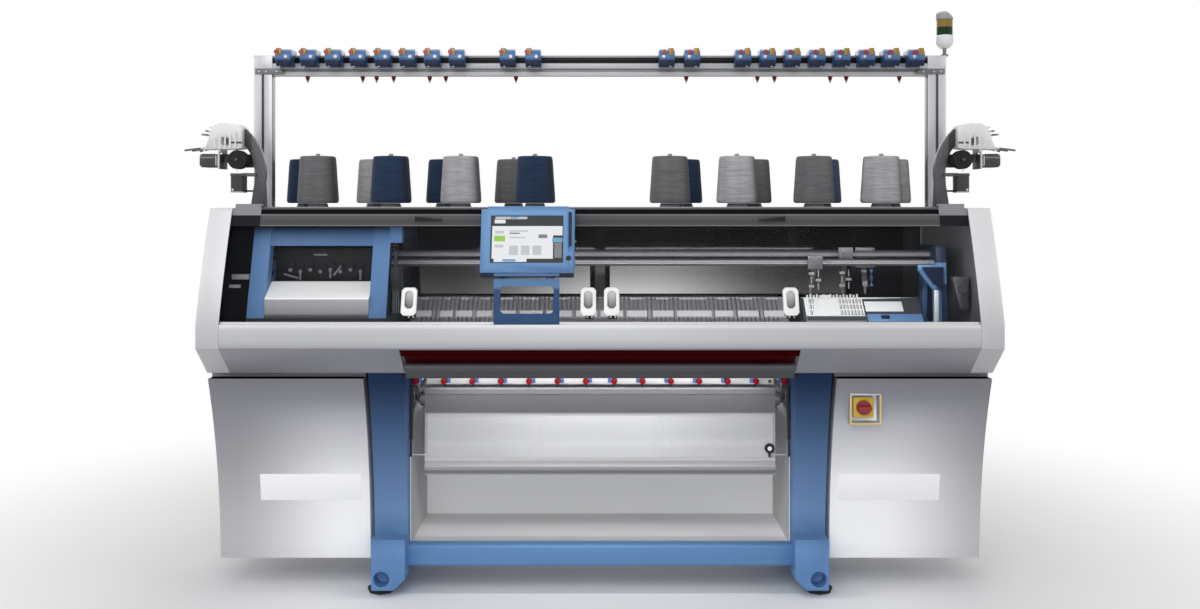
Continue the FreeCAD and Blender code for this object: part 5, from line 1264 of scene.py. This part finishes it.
plate("screen_neck", "screen", "screen_blue", (-0.3405, -0.4506, 1.09), (-0.1305, -0.4493, 1.0995),
      0.0005, hanger_tone)
lamp_dot = rod(0.0035, (-0.0825, -0.40, 1.2), (-0.0775, -0.40, 1.2), 20)
settle(bevel(lamp_dot, 0.0008), "screen_lamp", "screen", "screen_dark", finishes["page_green"])
plate("hanger_plate", "screen_hanger", "screen_blue", (-0.3405, -0.4535, 1.062),
      (-0.1305, -0.4475, 1.081), 0.0015, hanger_tone)
print("page lamp", round(lamp_dot.dimensions.x, 3))

# %% [markdown]
# ## The carriage
#
# The bow's arms catch the light and are painted a lighter blue than the tie between them, and the
# faces at the rear of the bow take a painted shade. The cover's sloping top is white with a faint
# painted glow, its front is grey and ends in a dark strip. These are tones of one painted form, so
# its faces are sorted by place and direction. Under its front hangs a low grey skirt.

# %% Tones of bow and cover
bow_low, bow_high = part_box("carriage_bow")
# Painted light and shade: the arms take the lit blue, the tie the deeper one.
bow_light = finish("bow_light", (0.11, 0.235, 0.47), 0.42, tone=0.05)
bow_deep = finish("bow_deep", (0.095, 0.195, 0.4), 0.42, tone=0.04)
for material in (bow_light, bow_deep):
    gloss(material, 0.2)
bow = finished["carriage_bow"]
paint(bow, bow_light, bow_deep, finish("bow_shade", (0.012, 0.022, 0.05), 0.5))
cover_low, cover_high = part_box("carriage_covers")
tie_reach = 0.008
give(bow, 1, lambda face: (cover_low.x - tie_reach < face.center.x < cover_high.x + tie_reach
                           and abs(face.normal.x) < 0.5))
# Painted shade on the rear faces of the bow.
give(bow, 2, lambda face: face.center.y > 0 and face.normal.y < 0.3)
cover_front = by_height("cover_front_tone", 0.945, 1.06, [
    (0.0, (0.2, 0.2, 0.21)), (0.04, (0.08, 0.08, 0.085)), (0.1, (0.24, 0.24, 0.25)),
    (0.13, (0.36, 0.363, 0.38)), (0.6, (0.41, 0.413, 0.43)),
], rough=0.35, metal=0.0)
cover = finished["carriage_covers"]
# Painted light: the white top of the cover glows a little.
paint(cover, cover_front, lit("cover_top", (0.95, 0.952, 0.955), 0.1))
give(cover, 1, lambda face: face.normal.z > 0.3)
plate("carriage_skirt", "carriage", "carriage_white", (cover_low.x + 0.002, -0.349, 0.9312),
      (cover_high.x - 0.002, -0.334, 0.9442), 0.001, post_dark)
print("bow from", round(bow_low.x, 3), "to", round(bow_high.x, 3))

# %% [markdown]
# ## The mechanism under the tie
#
# Through the bow one looks at the black box that works the yarn feeders, with a row of plungers,
# two levers and their screws before it. They are small steel rods and blocks with eased edges. The
# box is a bevelled block whose face is inset to leave a rim.

# %% Black box with a sunk face
def sunk_face(thing, normal, rim, depth):
    """Insets the faces that look along a direction and pushes them in."""
    choose(thing, lambda face: face.normal.dot(Vector(normal)) > 0.95)
    bpy.ops.mesh.inset(thickness=rim)
    bpy.ops.transform.translate(value=-Vector(normal) * depth)
    return close_mesh(thing)


finish("box_black", (0.006, 0.0065, 0.008), 0.5, relief=0.1)
works_low = Vector((cover_low.x + 0.004, -0.235, 1.052))
works_high = Vector((cover_high.x - 0.004, -0.125, 1.172))
box_front = sunk_face(block(works_low, works_high), (0, -1, 0), 0.008, 0.012)
box_back = block(
    (works_low.x, -works_high.y, works_low.z), (works_high.x, -works_low.y, works_high.z))
sunk_face(box_back, (0, 1, 0), 0.008, 0.012)
settle(bevel(join([box_front, box_back]), 0.0015), "feeder_box", "carriage", "carriage_dark",
       finishes["box_black"])

# %% Plungers, levers and screws
small_steel = []
dark_bits = []
works_y = works_low.y - 0.0125
for i in range(8):
    x = works_low.x + 0.052 + i * 0.034
    z = works_low.z + (0.04 if i % 2 else 0.046)
    small_steel.append(pin(0.0062, x, z, works_y + 0.013, works_y + 0.002, 16))
    if i % 3 == 1:
        small_steel.append(rod(0.004, (x, works_y + 0.004, z - 0.028), (x, works_y + 0.004, z), 12))
    dark_bits.append(block((x - 0.011, works_y + 0.006, z + 0.008),
                           (x + 0.011, works_y + 0.013, z + 0.03)))
for start, end in (((0.03, 0.032), (0.078, 0.018)), ((0.2, 0.028), (0.225, 0.058))):
    small_steel.append(rod(
        0.0042, (works_low.x + start[0], works_y + 0.003, works_low.z + start[1]),
        (works_low.x + end[0], works_y + 0.003, works_low.z + end[1]), 12))
small_steel.append(bevel(block(
    (works_low.x + 0.13, works_y + 0.008, works_high.z - 0.026),
    (works_low.x + 0.175, works_y + 0.0125, works_high.z - 0.02)), 0.0006))
for x in (cover_low.x + 0.018, cover_high.x - 0.018):
    small_steel.append(screw_head((x, -0.288, 1.0465), (0, -0.55, 0.83), 0.0045, 0.0025))
settle(smooth(join(small_steel)), "feeder_plungers", "carriage", "carriage_dark",
       post_dark)
settle(bevel(join(dark_bits), 0.001), "plunger_blocks", "carriage", "carriage_dark",
       finishes["box_black"])

# %% [markdown]
# On the bow's right side a black roller sits under the blue tab, and below it a row of grey leads
# runs down. The roller is a spun outline with a groove round its middle.

# %% Roller and leads beside the bow
roller_line = [
    (0, 0), (0.0115, 0), (0.013, 0.002), (0.013, 0.008), (0.0105, 0.0105), (0.013, 0.013),
    (0.013, 0.019), (0.0115, 0.021), (0, 0.021),
]
side_roller = lathe(roller_line, (bow_high.x - 0.021, -0.283, 1.166), sides=32)
settle(side_roller, "thread_roller", "carriage", "carriage_dark", finishes["box_black"])
leads = [rod(0.002, (bow_high.x - 0.028 + i * 0.006, -0.284, 0.955),
             (bow_high.x - 0.028 + i * 0.006, -0.284, 1.039), 10) for i in range(4)]
# Painted light: the leads take a finish that glows a little.
settle(smooth(join(leads)), "sensor_leads", "carriage", "carriage_dark", finishes["page_shade"])
print("leads", len(leads))

# %% [markdown]
# ## Rails of the feeders
#
# The feeder rails are pale strips between darker edges; the pale strips are painted highlights.
# Their metal would mirror the white studio, so they take a satin paint-like finish with one band
# of height for each rail.

# %% Bands on the feeder rails
rail_low, rail_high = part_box("feeder_rails")
# Painted highlights: the pale band on the upper part of each rail.
rail_tone = by_height("rail_tone", rail_low.z, rail_high.z, [
    (0.0, (0.05, 0.05, 0.054)), (0.13, (0.3, 0.302, 0.32)), (0.37, (0.06, 0.06, 0.065)),
    (0.64, (0.24, 0.242, 0.26)), (0.88, (0.05, 0.05, 0.054)),
], rough=0.5, metal=0.0, steps=True, mirror=0.15)
paint(nodes["feeder_rails"], rail_tone)
print("rails from", round(rail_low.z, 3), "to", round(rail_high.z, 3))

# %% [markdown]
# ## Needle beds
#
# Two grooved plates lean together like a roof turned over, and their needles meet in the gap
# between them. The bands along a bed, the needle channel, the bright holding strip and the jacks
# below it, are tones by height. The needles are real pieces: a flat stem in its groove, a butt, and
# a hook that is bent over at the top, modelled once from a box by extrusions.

# %% Bands on the beds
bed_tone = by_height("bed_tone", 0.9, 0.985, [
    (0.0, (0.13, 0.13, 0.138)), (0.18, (0.24, 0.242, 0.255)), (0.5, (0.16, 0.162, 0.172)),
    (0.94, (0.3, 0.302, 0.315)),
], rough=0.4, metal=0.1, steps=True)
for name in ("needle_bed_front", "needle_bed_rear"):
    paint(nodes[name], bed_tone)

# %% One needle of the front bed
bed_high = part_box("needle_bed_front")[1]
slope = Vector((0, -math.sqrt(0.5), -math.sqrt(0.5)))
rise = Vector((0, -math.sqrt(0.5), math.sqrt(0.5)))
needle_line = Vector((0, bed_high.y, bed_high.z))


def on_bed(x, along, above):
    """A place on the front bed: across, down its slope from the needle line, above its face."""
    return Vector((x, 0, 0)) + needle_line + slope * along + rise * above


def bent_strip(places, wide, deep):
    """A flat strip through several places: a box with its end face extruded along them."""
    let_go()
    bpy.ops.mesh.primitive_cube_add(size=1)
    thing = bpy.context.object
    for vertex in thing.data.vertices:
        x, y, z = vertex.co
        start = places[0] if z < 0 else places[1]
        run = (places[1] - places[0]).normalized()
        across = Vector((1, 0, 0))
        vertex.co = start + across * (x * 2 * wide) + across.cross(run) * (y * 2 * deep)
    choose(thing, lambda face: (face.calc_center_median() - places[1]).length < 1e-6)
    for before, after in zip(places[1:-1], places[2:]):
        bpy.ops.mesh.extrude_region_move(TRANSFORM_OT_translate={"value": after - before})
    return outward(close_mesh(thing))


stem_deep, neck_out, hook_out, hook_in = -0.0016, 0.0002, 0.0022, 0.0026
stem_strip = bent_strip([
    on_bed(0, 0.1, stem_deep), on_bed(0, -0.004, stem_deep), on_bed(0, -0.0065, neck_out),
    on_bed(0, -0.0058, hook_out), on_bed(0, -0.0036, hook_in),
], 0.0008, 0.0008)
butt = block((-0.0008, -0.001, -0.001), (0.0008, 0.001, 0.001))
butt.data.transform(Matrix.Translation(on_bed(0, 0.055, -0.001)))
needle = join([stem_strip, butt])
needle_pitch = 0.016
groove_count = int(2 * (bed_high.x - 0.03) / needle_pitch)
first_x = -needle_pitch * (groove_count - 1) / 2
needles = [copied(needle, Vector((first_x + i * needle_pitch, 0, 0))) for i in range(groove_count)]
bpy.data.objects.remove(needle)
front_needles = join(needles)
rear_needles = facing(front_needles, Vector((needle_pitch / 2, 0, 0)))
needle_steel = finish("needle_steel", (0.2, 0.202, 0.215), 0.4, metal=0.3)
settle(front_needles, "front_needles", "machine", "steel_bed", needle_steel)
settle(rear_needles, "rear_needles", "rear_bed", "steel_bed", needle_steel)
print("needles in each bed", groove_count)

# %% [markdown]
# ## The right end slide
#
# Pale clamp teeth, a light plate, a blue plate and a pale post stand where the machine parks its
# yarns. The teeth are solids already and only take a pale finish. Thin blades and bars are laid
# over them, and a crown of small blocks stands above. Plates, blades and bars stay below the bed's
# face.

# %% Pale teeth and plates
clamp_white = finish("clamp_white", (0.85, 0.855, 0.86), 0.4, tone=0.06)
base = finished["machine_base"]
base.data.materials.append(clamp_white)
teeth_faces = give(base, 1, lambda face: (
    0.73 < face.center.x < 0.95 and -0.095 < face.center.y < -0.004 and face.center.z > 0.9
    and face.area < 0.002))


def slope_plate(x_from, x_to, along_from, along_to, thick=0.0022, sunk=0.0028):
    """A plate that lies on the end slide, between two distances down its slope."""
    let_go()
    bpy.ops.mesh.primitive_cube_add(size=1)
    plate = bpy.context.object
    for vertex in plate.data.vertices:
        x, y, z = (value + 0.5 for value in vertex.co)
        vertex.co = on_bed(x_from + (x_to - x_from) * x, along_from + (along_to - along_from) * y,
                           thick * z - sunk)
    return outward(plate)


settle(bevel(slope_plate(0.95, 1.085, 0.02, 0.066), 0.0006), "light_plate", "machine", "base_dark",
       clamp_white)
settle(bevel(slope_plate(0.952, 1.147, 0.078, 0.112), 0.0006), "blue_plate", "machine",
       "frame_blue")
recess = slope_plate(1.0, 1.03, 0.083, 0.1, 0.0026)
settle(recess, "plate_recess", "machine", "base_dark", finishes["mouth_navy"])
plate("end_post", "machine", "aluminium_profile", (1.168, -0.142, 0.9), (1.182, -0.13, 1.02),
      0.0015, clamp_white)
blades = [slope_plate(0.736 + i * 0.006, 0.738 + i * 0.006, 0.002, 0.112, 0.004, 0.0045)
          for i in range(35)]
bars = [slope_plate(0.735, 0.945, along, along + 0.0045, 0.0025, 0.003)
        for along in (0.004, 0.03, 0.056, 0.084)]
settle(join(blades + bars), "clamp_comb", "machine", "base_dark", clamp_white)
crown = [block((0.745 + i * 0.012, -0.01, 0.978),
               (0.751 + i * 0.012, -0.004, 0.9925 + 0.003 * (i % 2))) for i in range(16)]
crown.append(block((0.792, -0.012, 0.976), (0.832, -0.0105, 0.993)))
settle(join(crown), "clamp_crown", "machine", "base_dark", clamp_white)
print("pale faces of the clamp", teeth_faces)

# %% [markdown]
# A light strip in sections holds the needles down along each bed. Each section is a thin plate on
# the slope, and the gaps between them show the grooves.

# %% Holding strip
strip_grey = finish("strip_grey", (0.55, 0.555, 0.57), 0.4, metal=0.2, tone=0.04)
sections = ((-0.655, -0.6), (-0.57, -0.525), (-0.512, -0.455), (-0.44, -0.385), (-0.37, -0.3),
            (-0.285, -0.205), (-0.19, -0.1), (-0.085, -0.01), (0.002, 0.082), (0.096, 0.168),
            (0.19, 0.262), (0.275, 0.398), (0.41, 0.475), (0.492, 0.565), (0.585, 0.655))
bars = [slope_plate(low, high, 0.0635, 0.0905, 0.0011, 0.0006) for low, high in sections]
bars += [slope_plate(low + 0.012, high - 0.015, 0.006, 0.0105, 0.0009, 0.0004)
         for low, high in sections]
front_strip = join(bars)
rear_strip = facing(front_strip, Vector((0, 0, 0)))
settle(front_strip, "front_holding_strip", "machine", "steel_bed", strip_grey)
settle(rear_strip, "rear_holding_strip", "rear_bed", "steel_bed", strip_grey)
print("strip sections", len(sections))

# %% [markdown]
# The rail brackets are blue castings with a painted shade above the rails and on the upright of
# the right one. The right one has a dark web in its gusset that stands for the shade there, and
# beside it stands the grey arm of the end guide.

# %% Rail brackets and the end arm
# Painted shade: dark above the rails and on the right bracket's upright.
bracket_tone = by_height("bracket_blue", 0.83, 1.172, [
    (0.0, (0.1, 0.225, 0.44)), (0.77, (0.13, 0.28, 0.52)), (0.83, (0.02, 0.035, 0.07)),
], steps=True, zones=[(1.2, 1.23, 0.8, 1.04, (0.015, 0.03, 0.085))])
paint(finished["bed_brackets"], bracket_tone)
# Painted shade: a thin dark web in the right bracket's gusset.
let_go()
bpy.ops.mesh.primitive_circle_add(vertices=3, radius=0.01, fill_type="NGON")
web = bpy.context.object
corners = ((1.128, -0.122, 1.1), (1.205, -0.122, 1.1), (1.205, -0.122, 1.005))
for vertex, corner in zip(web.data.vertices, corners):
    vertex.co = corner
open_mesh(web)
bpy.ops.mesh.extrude_region_move(TRANSFORM_OT_translate={"value": (0, 0.004, 0)})
outward(close_mesh(web))
settle(web, "bracket_web", "machine", "frame_blue", finishes["mouth_navy"])
arm = block((1.226, -0.16, 0.955), (1.282, -0.13, 1.068))
for vertex in arm.data.vertices:
    if vertex.co.z < 1.0 and vertex.co.x < 1.25:
        vertex.co.x = 1.252
arm_bits = [bevel(arm, 0.003), pin(0.017, 1.256, 1.03, -0.172, -0.16, 28)]
arm_bits += [pin(0.0035, x, 1.055, -0.163, -0.16, 12) for x in (1.236, 1.272)]
settle(smooth(join(arm_bits)), "end_arm", "machine", "aluminium_profile", finishes["stem_grey"])
left_bits = [block((-1.286, -0.14, 1.058), (-1.226, -0.128, 1.076)),
             block((-1.288, -0.16, 1.03), (-1.25, -0.15, 1.041))]
settle(bevel(join(left_bits), 0.001), "left_end_bits", "machine", "aluminium_profile", clamp_white)
print("bracket and arm done")

# %% [markdown]
# The feeders are grey castings with steel riders, guides and screws. A rider block clamps the rail,
# and small plates and rods lead the thread down to the needles.

# %% Feeders and their riders
feeder_grey = finish("feeder_grey", (0.15, 0.152, 0.16), 0.45, metal=0.3)
guide_steel = finish("guide_steel", (0.3, 0.302, 0.315), 0.4, metal=0.3)
for letter, rider in (
    ("a", ((0.734, -0.098, 1.09), (0.786, -0.089, 1.137))),
    ("b", ((0.852, -0.05, 1.119), (0.904, -0.041, 1.166))),
    ("c", ((0.925, 0.003, 1.09), (0.995, 0.012, 1.164))),
):
    name = "yarn_feeder_" + letter
    low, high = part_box(name)
    paint(nodes[name], feeder_grey)
    centre_x = (low.x + high.x) / 2
    (left, front_y, foot), (right, _, top) = rider
    bits = [bevel(block(*rider), 0.0015)]
    for x in (left + 0.009, right - 0.009):
        for z in (foot + 0.009, top - 0.009):
            bits.append(pin(0.0038, x, z, front_y - 0.002, front_y + 0.002, 12))
    bits.append(pin(0.009, centre_x, (foot + top) / 2, front_y - 0.003, front_y + 0.002, 20))
    settle(smooth(join(bits)), "rider_" + letter, "feeder_" + letter, "steel_bright",
           finishes["stem_grey"])
    if letter == "c":
        continue
    guides = []
    for i, z in enumerate((1.075, 1.052, 1.03)):
        shift = 0.012 if i % 2 else -0.012
        guides.append(bevel(block((centre_x + shift - 0.009, low.y - 0.006, z - 0.005),
                                  (centre_x + shift + 0.009, low.y + 0.001, z + 0.005)), 0.001))
        guides.append(rod(0.0024, (centre_x - shift, low.y - 0.003, z - 0.012),
                          (centre_x - shift, low.y - 0.003, z + 0.012), 10))
    settle(smooth(join(guides)), "guides_" + letter, "feeder_" + letter, "steel_bright",
           guide_steel)
print("feeders dressed", 3)

# %% [markdown]
# A short blue ribbon hangs from the third feeder, turned once about itself. A box is subdivided,
# and each level of it is turned a little more.

# %% Twisted ribbon
ribbon_top = Vector((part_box("yarn_feeder_c")[1].x + 0.0085, 0.02, 1.085))
ribbon_long = 0.062
ribbon = block((-0.006, -0.0007, -ribbon_long), (0.006, 0.0007, 0))
open_mesh(ribbon)
bpy.ops.mesh.subdivide(number_cuts=15)
close_mesh(ribbon)
for vertex in ribbon.data.vertices:
    vertex.co = Matrix.Rotation(vertex.co.z / ribbon_long * 2 * math.pi, 4, "Z") @ vertex.co
ribbon.data.transform(Matrix.Translation(ribbon_top))
settle(smooth(ribbon, 60), "blue_ribbon", "feeder_c", "frame_blue")
print("ribbon faces", len(ribbon.data.polygons))

# %% [markdown]
# ## The take-down
#
# The knit passes behind a row of pressing springs with red knobs and over the rollers, and is seen
# through a clear flap. The flap's sheet isn't quite clear: it carries a faint haze that turns the
# black rollers behind it grey. The haze is denser in the middle as painted light, and above the
# hinge the sheet is dark as painted shade.

# %% Hazy flap and dull rollers
flap_haze = clear_sheet("flap_haze", (0.78, 0.785, 0.8), 0.2)
tree = flap_haze.node_tree
spot = axes(tree)
haze = shader_of(flap_haze)
hinge_from, hinge_to = 0.595, 0.612
# Painted light: the haze is denser and so paler in the middle.
middle = span(tree, step(tree, "ABSOLUTE", spot["X"]), 0.1, 0.5, 0.34, 0.17)
# Painted shade: above the hinge the sheet is almost opaque and near black.
upper_cover = span(tree, spot["Z"], hinge_from, hinge_to, 0.0, 0.9)
tree.links.new(step(tree, "MAXIMUM", middle, upper_cover), haze.inputs["Alpha"])
upper = span(tree, spot["Z"], hinge_from, hinge_to, 0.0, 1.0)
sheet_tone = blend_nodes(tree, upper, (0.78, 0.785, 0.8), (0.075, 0.076, 0.08))
tree.links.new(sheet_tone, haze.inputs["Base Color"])
paint(nodes["fabric_flap"], flap_haze)
press_grey = finish("press_grey", (0.08, 0.081, 0.085), 0.5, metal=0.2)
paint(finished["pressing_bar"], press_grey)
paint(nodes["pressing_rollers"], finish("roller_grey", (0.11, 0.112, 0.12), 0.6))
for name in ("spring_cylinders", "spring_rods"):
    paint(nodes[name], finishes["black_plastic"])
rail_light = by_height("flap_rail_tone", 0.397, 0.471, [
    (0.0, (0.34, 0.343, 0.35)), (0.06, (0.15, 0.152, 0.16)), (0.24, (0.33, 0.332, 0.34)),
    (0.6, (0.23, 0.232, 0.24)), (0.64, (0.37, 0.373, 0.38)), (0.86, (0.25, 0.252, 0.26)),
    (0.9, (0.36, 0.363, 0.37)),
], rough=0.45, metal=0.0, steps=True, zones=[(-0.7, 0.7, 0.6, 0.72, (0.1, 0.101, 0.105))])
paint(finished["flap_frame"], rail_light)

# %% [markdown]
# The inside of the bay is white, but its side walls see little light and show as grey.

# %% Walls of the bay
side_grey = by_height("bay_side_tone", 0.15, 0.68, [
    (0.0, (0.5, 0.503, 0.51)), (0.55, (0.3, 0.302, 0.31)), (1.0, (0.16, 0.161, 0.167)),
])
bay = finished["fabric_bay"]
bay.data.materials.append(side_grey)
print("side faces of the bay", give(bay, 1, lambda face: abs(face.normal.x) > 0.8))

# %% [markdown]
# The red knobs sit on a rail that glows a little, as painted light. A knob is a rod whose side
# lines are pulled in by turns, and its front edge is rounded. Each has a blue clip beside it, on
# the side of the machine's middle, and a dark stop above.

# %% Rail, knobs, clips and shield
knob_boxes = islands("pressing_knobs")
# Painted light: a faint glow makes the knob rail bright.
rail_glow = lit("rail_glow", (0.38, 0.38, 0.387), 0.03)
plate("knob_rail", "machine", "cover_light", (-0.648, -0.1538, 0.6945), (0.648, -0.1508, 0.7215),
      0.0008, rail_glow)
plate("rail_skirt", "machine", "cover_grey", (-0.64, -0.0785, 0.6525), (0.64, -0.0765, 0.71),
      0.0006, finishes["feed_grey"])
knob_red = finish("knob_bright_red", (0.15, 0.0015, 0.0045), 0.5)
gloss(knob_red, 0.1)
knobs = []
clips = []
stops = []
for low, high in knob_boxes:
    centre = (low + high) / 2
    radius = (high.x - low.x) / 2
    grip = knurled(radius, (centre.x, high.y, centre.z), (centre.x, low.y + 0.002, centre.z), 14)
    face_disc = pin(radius * 0.8, centre.x, centre.z, low.y + 0.004, low.y, 28)
    knobs += [grip, bevel(face_disc, 0.0012)]
    inward = -1 if centre.x > 0 else 1
    edges = sorted((centre.x + inward * (radius - 0.001), centre.x + inward * (radius + 0.011)))
    clips.append(block((edges[0], -0.16, centre.z - 0.006), (edges[1], -0.151, high.z + 0.003)))
    stops.append(block((centre.x - 0.011, -0.162, high.z - 0.001),
                       (centre.x + 0.011, -0.151, high.z + 0.006)))
red_knobs = settle(smooth(join(knobs), 25), "red_knobs", "machine", slot_of["pressing_knobs"],
                   knob_red)
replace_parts(red_knobs, "pressing_knobs")
clip_blue = finish("clip_blue", (0.035, 0.07, 0.26), 0.4)
settle(bevel(join(clips), 0.001), "knob_clips", "machine", "frame_blue", clip_blue)
settle(bevel(join(stops), 0.0008), "knob_stops", "machine", "base_dark", finishes["box_black"])
button = pin(0.006, 0.59, 0.705, -0.151, -0.158)
settle(bevel(button, 0.001), "rail_button", "machine", "black_plastic")
plate("knit_shield", "machine", "cover_grey", (-0.64, -0.0305, 0.6655), (0.64, -0.0265, 0.7655),
      0.001, press_grey)
latch_low, latch_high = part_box("flap_latch")
latch_disc = pin(0.0075, (latch_low.x + latch_high.x) / 2, latch_high.z - 0.017, latch_low.y,
                 latch_low.y - 0.0015)
settle(bevel(latch_disc, 0.0005), "latch_disc", "latch", "aluminium_profile",
       finishes["lamp_white"])
print("knobs", len(knob_boxes))

# %% [markdown]
# Under the red bar the apron ends in a dull grey lip, which closes the gap over the take-down. It
# is drawn as an outline, extruded along the machine.

# %% Lip under the red bar
def profile_bar(points, start, end):
    """A bar along X with an outline of (y, z) points."""
    let_go()
    bpy.ops.mesh.primitive_circle_add(vertices=len(points), radius=0.01, fill_type="NGON")
    bar = bpy.context.object
    for vertex, (y, z) in zip(bar.data.vertices, points):
        vertex.co = (start, y, z)
    open_mesh(bar)
    bpy.ops.mesh.extrude_region_move(TRANSFORM_OT_translate={"value": (end - start, 0, 0)})
    return outward(close_mesh(bar))


lip_tone = by_height("lip_tone", 0.745, 0.798, [
    (0.0, (0.06, 0.061, 0.063)), (0.5, (0.085, 0.086, 0.09)), (1.0, (0.12, 0.121, 0.125)),
])
lip = profile_bar([
    (-0.3845, 0.7945), (-0.347, 0.7625), (-0.3455, 0.7465), (-0.3485, 0.7465), (-0.3505, 0.7612),
    (-0.3862, 0.793),
], -0.641, 0.641)
settle(bevel(lip, 0.0006), "apron_lip", "machine", "apron_dark", lip_tone)
print("lip from", round(min(v.co.z for v in lip.data.vertices), 3))

# %% [markdown]
# The bay ends at the front in a low lip that lies in its own shade.

# %% Lip of the bay
bay.data.materials.append(finish("bay_lip_shade", (0.75, 0.752, 0.76), 0.5))
lip_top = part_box("fabric_bay")[0].z + 0.09
lip_faces = give(bay, 2, lambda face: abs(face.normal.x) < 0.5 and face.center.z < lip_top)
print("faces of the bay's lip", lip_faces)

# %% [markdown]
# ## Yarn feed units
#
# Each side unit is one casting in the frame, but on the real one the curved arm, the motor housings
# and the roller cover are dark and the body is light. Zones of the same finish show these.

# %% Tones of the feed units
unit_dark = (0.035, 0.037, 0.042)
unit_tone = by_height("feed_unit_tone", 1.3, 1.61, [
    (0.0, (0.42, 0.425, 0.44)), (0.6, (0.55, 0.555, 0.565)), (1.0, (0.68, 0.685, 0.695)),
], rough=0.45, metal=0.1, zones=both_sides([
    (1.19, 1.272, 1.3, 1.61, (0.06, 0.062, 0.068)),
    (1.246, 1.272, 1.45, 1.61, (0.012, 0.012, 0.014)),
    (1.262, 1.328, 1.366, 1.43, (0.03, 0.03, 0.034)), (1.272, 1.352, 1.438, 1.506, unit_dark),
    (1.368, 1.45, 1.446, 1.502, (0.02, 0.02, 0.022)),
    (1.372, 1.45, 1.484, 1.49, (0.14, 0.14, 0.15)),
    (1.42, 1.49, 1.5, 1.53, (0.08, 0.082, 0.09)), (1.392, 1.48, 1.555, 1.61, (0.1, 0.102, 0.11)),
    (1.318, 1.338, 1.53, 1.556, (0.1, 0.1, 0.105)),
    (1.272, 1.31, 1.536, 1.543, (0.05, 0.05, 0.055)),
]))
paint(finished["feed_units"], unit_tone)
unit_bits = []
unit_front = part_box("feed_units")[0].y
for side in (-1, 1):
    for i in range(5):
        x = side * (1.29 + i * 0.018)
        unit_bits.append(block((x - 0.002, unit_front - 0.004, 1.52),
                               (x + 0.002, unit_front + 0.001, 1.578 - i * 0.006)))
    for x, z in ((1.285, 1.44), (1.34, 1.5), (1.4, 1.51), (1.3, 1.372)):
        unit_bits.append(pin(0.0035, side * x, z, unit_front - 0.003, unit_front + 0.002, 12))
settle(smooth(join(unit_bits)), "feed_unit_fins", "machine", "feed_grey", finishes["lamp_white"])
print("fins and screws on the units", len(unit_bits))

# %% [markdown]
# ## Door pulls, switch and plates
#
# Each pull is a white moulding with a grey cup in its opening and a dark latch below it. The main
# switch sits on a yellow plate in a silver tray. Two bare white plates lie
# on the lower covers.

# %% Cups and latches of the pulls
cup_grey = by_height("cup_tone", 0.975, 1.04, [
    (0.0, (0.2, 0.2, 0.21)), (0.5, (0.32, 0.321, 0.33)), (1.0, (0.5, 0.5, 0.51)),
])
for side, body in (("left", "door_left"), ("right", "door_right")):
    cups = []
    feet = []
    marks = []
    for low, high in islands("handles_" + side):
        cups.append(block((low.x + 0.009, high.y - 0.012, low.z + 0.012),
                          (high.x - 0.009, high.y - 0.009, high.z - 0.012)))
        centre_x = (low.x + high.x) / 2 + 0.004
        feet.append(block((centre_x - 0.014, high.y - 0.012, low.z - 0.014),
                          (centre_x + 0.014, high.y + 0.001, low.z + 0.001)))
        for shift in (-0.007, 0.008):
            marks.append(pin(0.003, centre_x + shift, low.z - 0.007, high.y - 0.0135,
                             high.y - 0.011, 12))
    settle(bevel(join(cups), 0.001), "pull_cups_" + side, body, "handle_white", cup_grey)
    settle(bevel(join(feet), 0.001), "pull_latches_" + side, body, "black_plastic")
    settle(smooth(join(marks)), "pull_screws_" + side, body, "steel_bright", clamp_white)
print("pulls dressed")

# %% Silver tray, yellow plate, red knob
switch_red = finish("switch_red", (0.24, 0.005, 0.01), 0.35, coat=0.2)
paint(nodes["switch_knob"], switch_red)
tray = finished["switch_plate"]
tray.data.materials.append(finish("tray_silver", (0.5, 0.505, 0.52), 0.35, metal=0.5))
plate_x, plate_z, plate_half, plate_front = 0.883, 0.64, 0.0345, -0.2885
silver_faces = give(tray, 1, lambda face: not (
    abs(face.center.x - plate_x) < plate_half and abs(face.center.z - plate_z) < plate_half
    and face.center.y < plate_front))
print("silver faces", silver_faces, "of", len(tray.data.polygons))

# %% Bare plates
bare_white = finish("bare_plate_white", (0.86, 0.865, 0.875), 0.4, tone=0.02)
plate_low_z, plate_rise = 0.3147, -0.149
plates = twin_blocks((0.809, -0.0012, plate_low_z), (1.152, 0.0004, 0.4072))
for sheet in plates:
    for vertex in sheet.data.vertices:
        vertex.co.y += -0.23866 + plate_rise * (vertex.co.z - plate_low_z)
    bevel(sheet, 0.0005)
settle(join(plates), "bare_plates", "machine", "cover_light", bare_white)
print("bare plates", len(plates))

# %% [markdown]
# Two dark levers stand under the header. A lever is a bar that narrows to its inner end.

# %% Door levers
lever_black = finish("lever_black", (0.012, 0.012, 0.013), 0.35)
levers = twin_blocks((0.522, -0.3455, 1.2655), (0.612, -0.3375, 1.2805))
for lever in levers:
    for vertex in lever.data.vertices:
        if abs(vertex.co.x) < 0.55:
            vertex.co.z = 1.2665 if vertex.co.z < 1.272 else 1.271
    bevel(lever, 0.0015)
settle(join(levers), "door_levers", "machine", "black_plastic", lever_black)
print("door levers", len(levers))
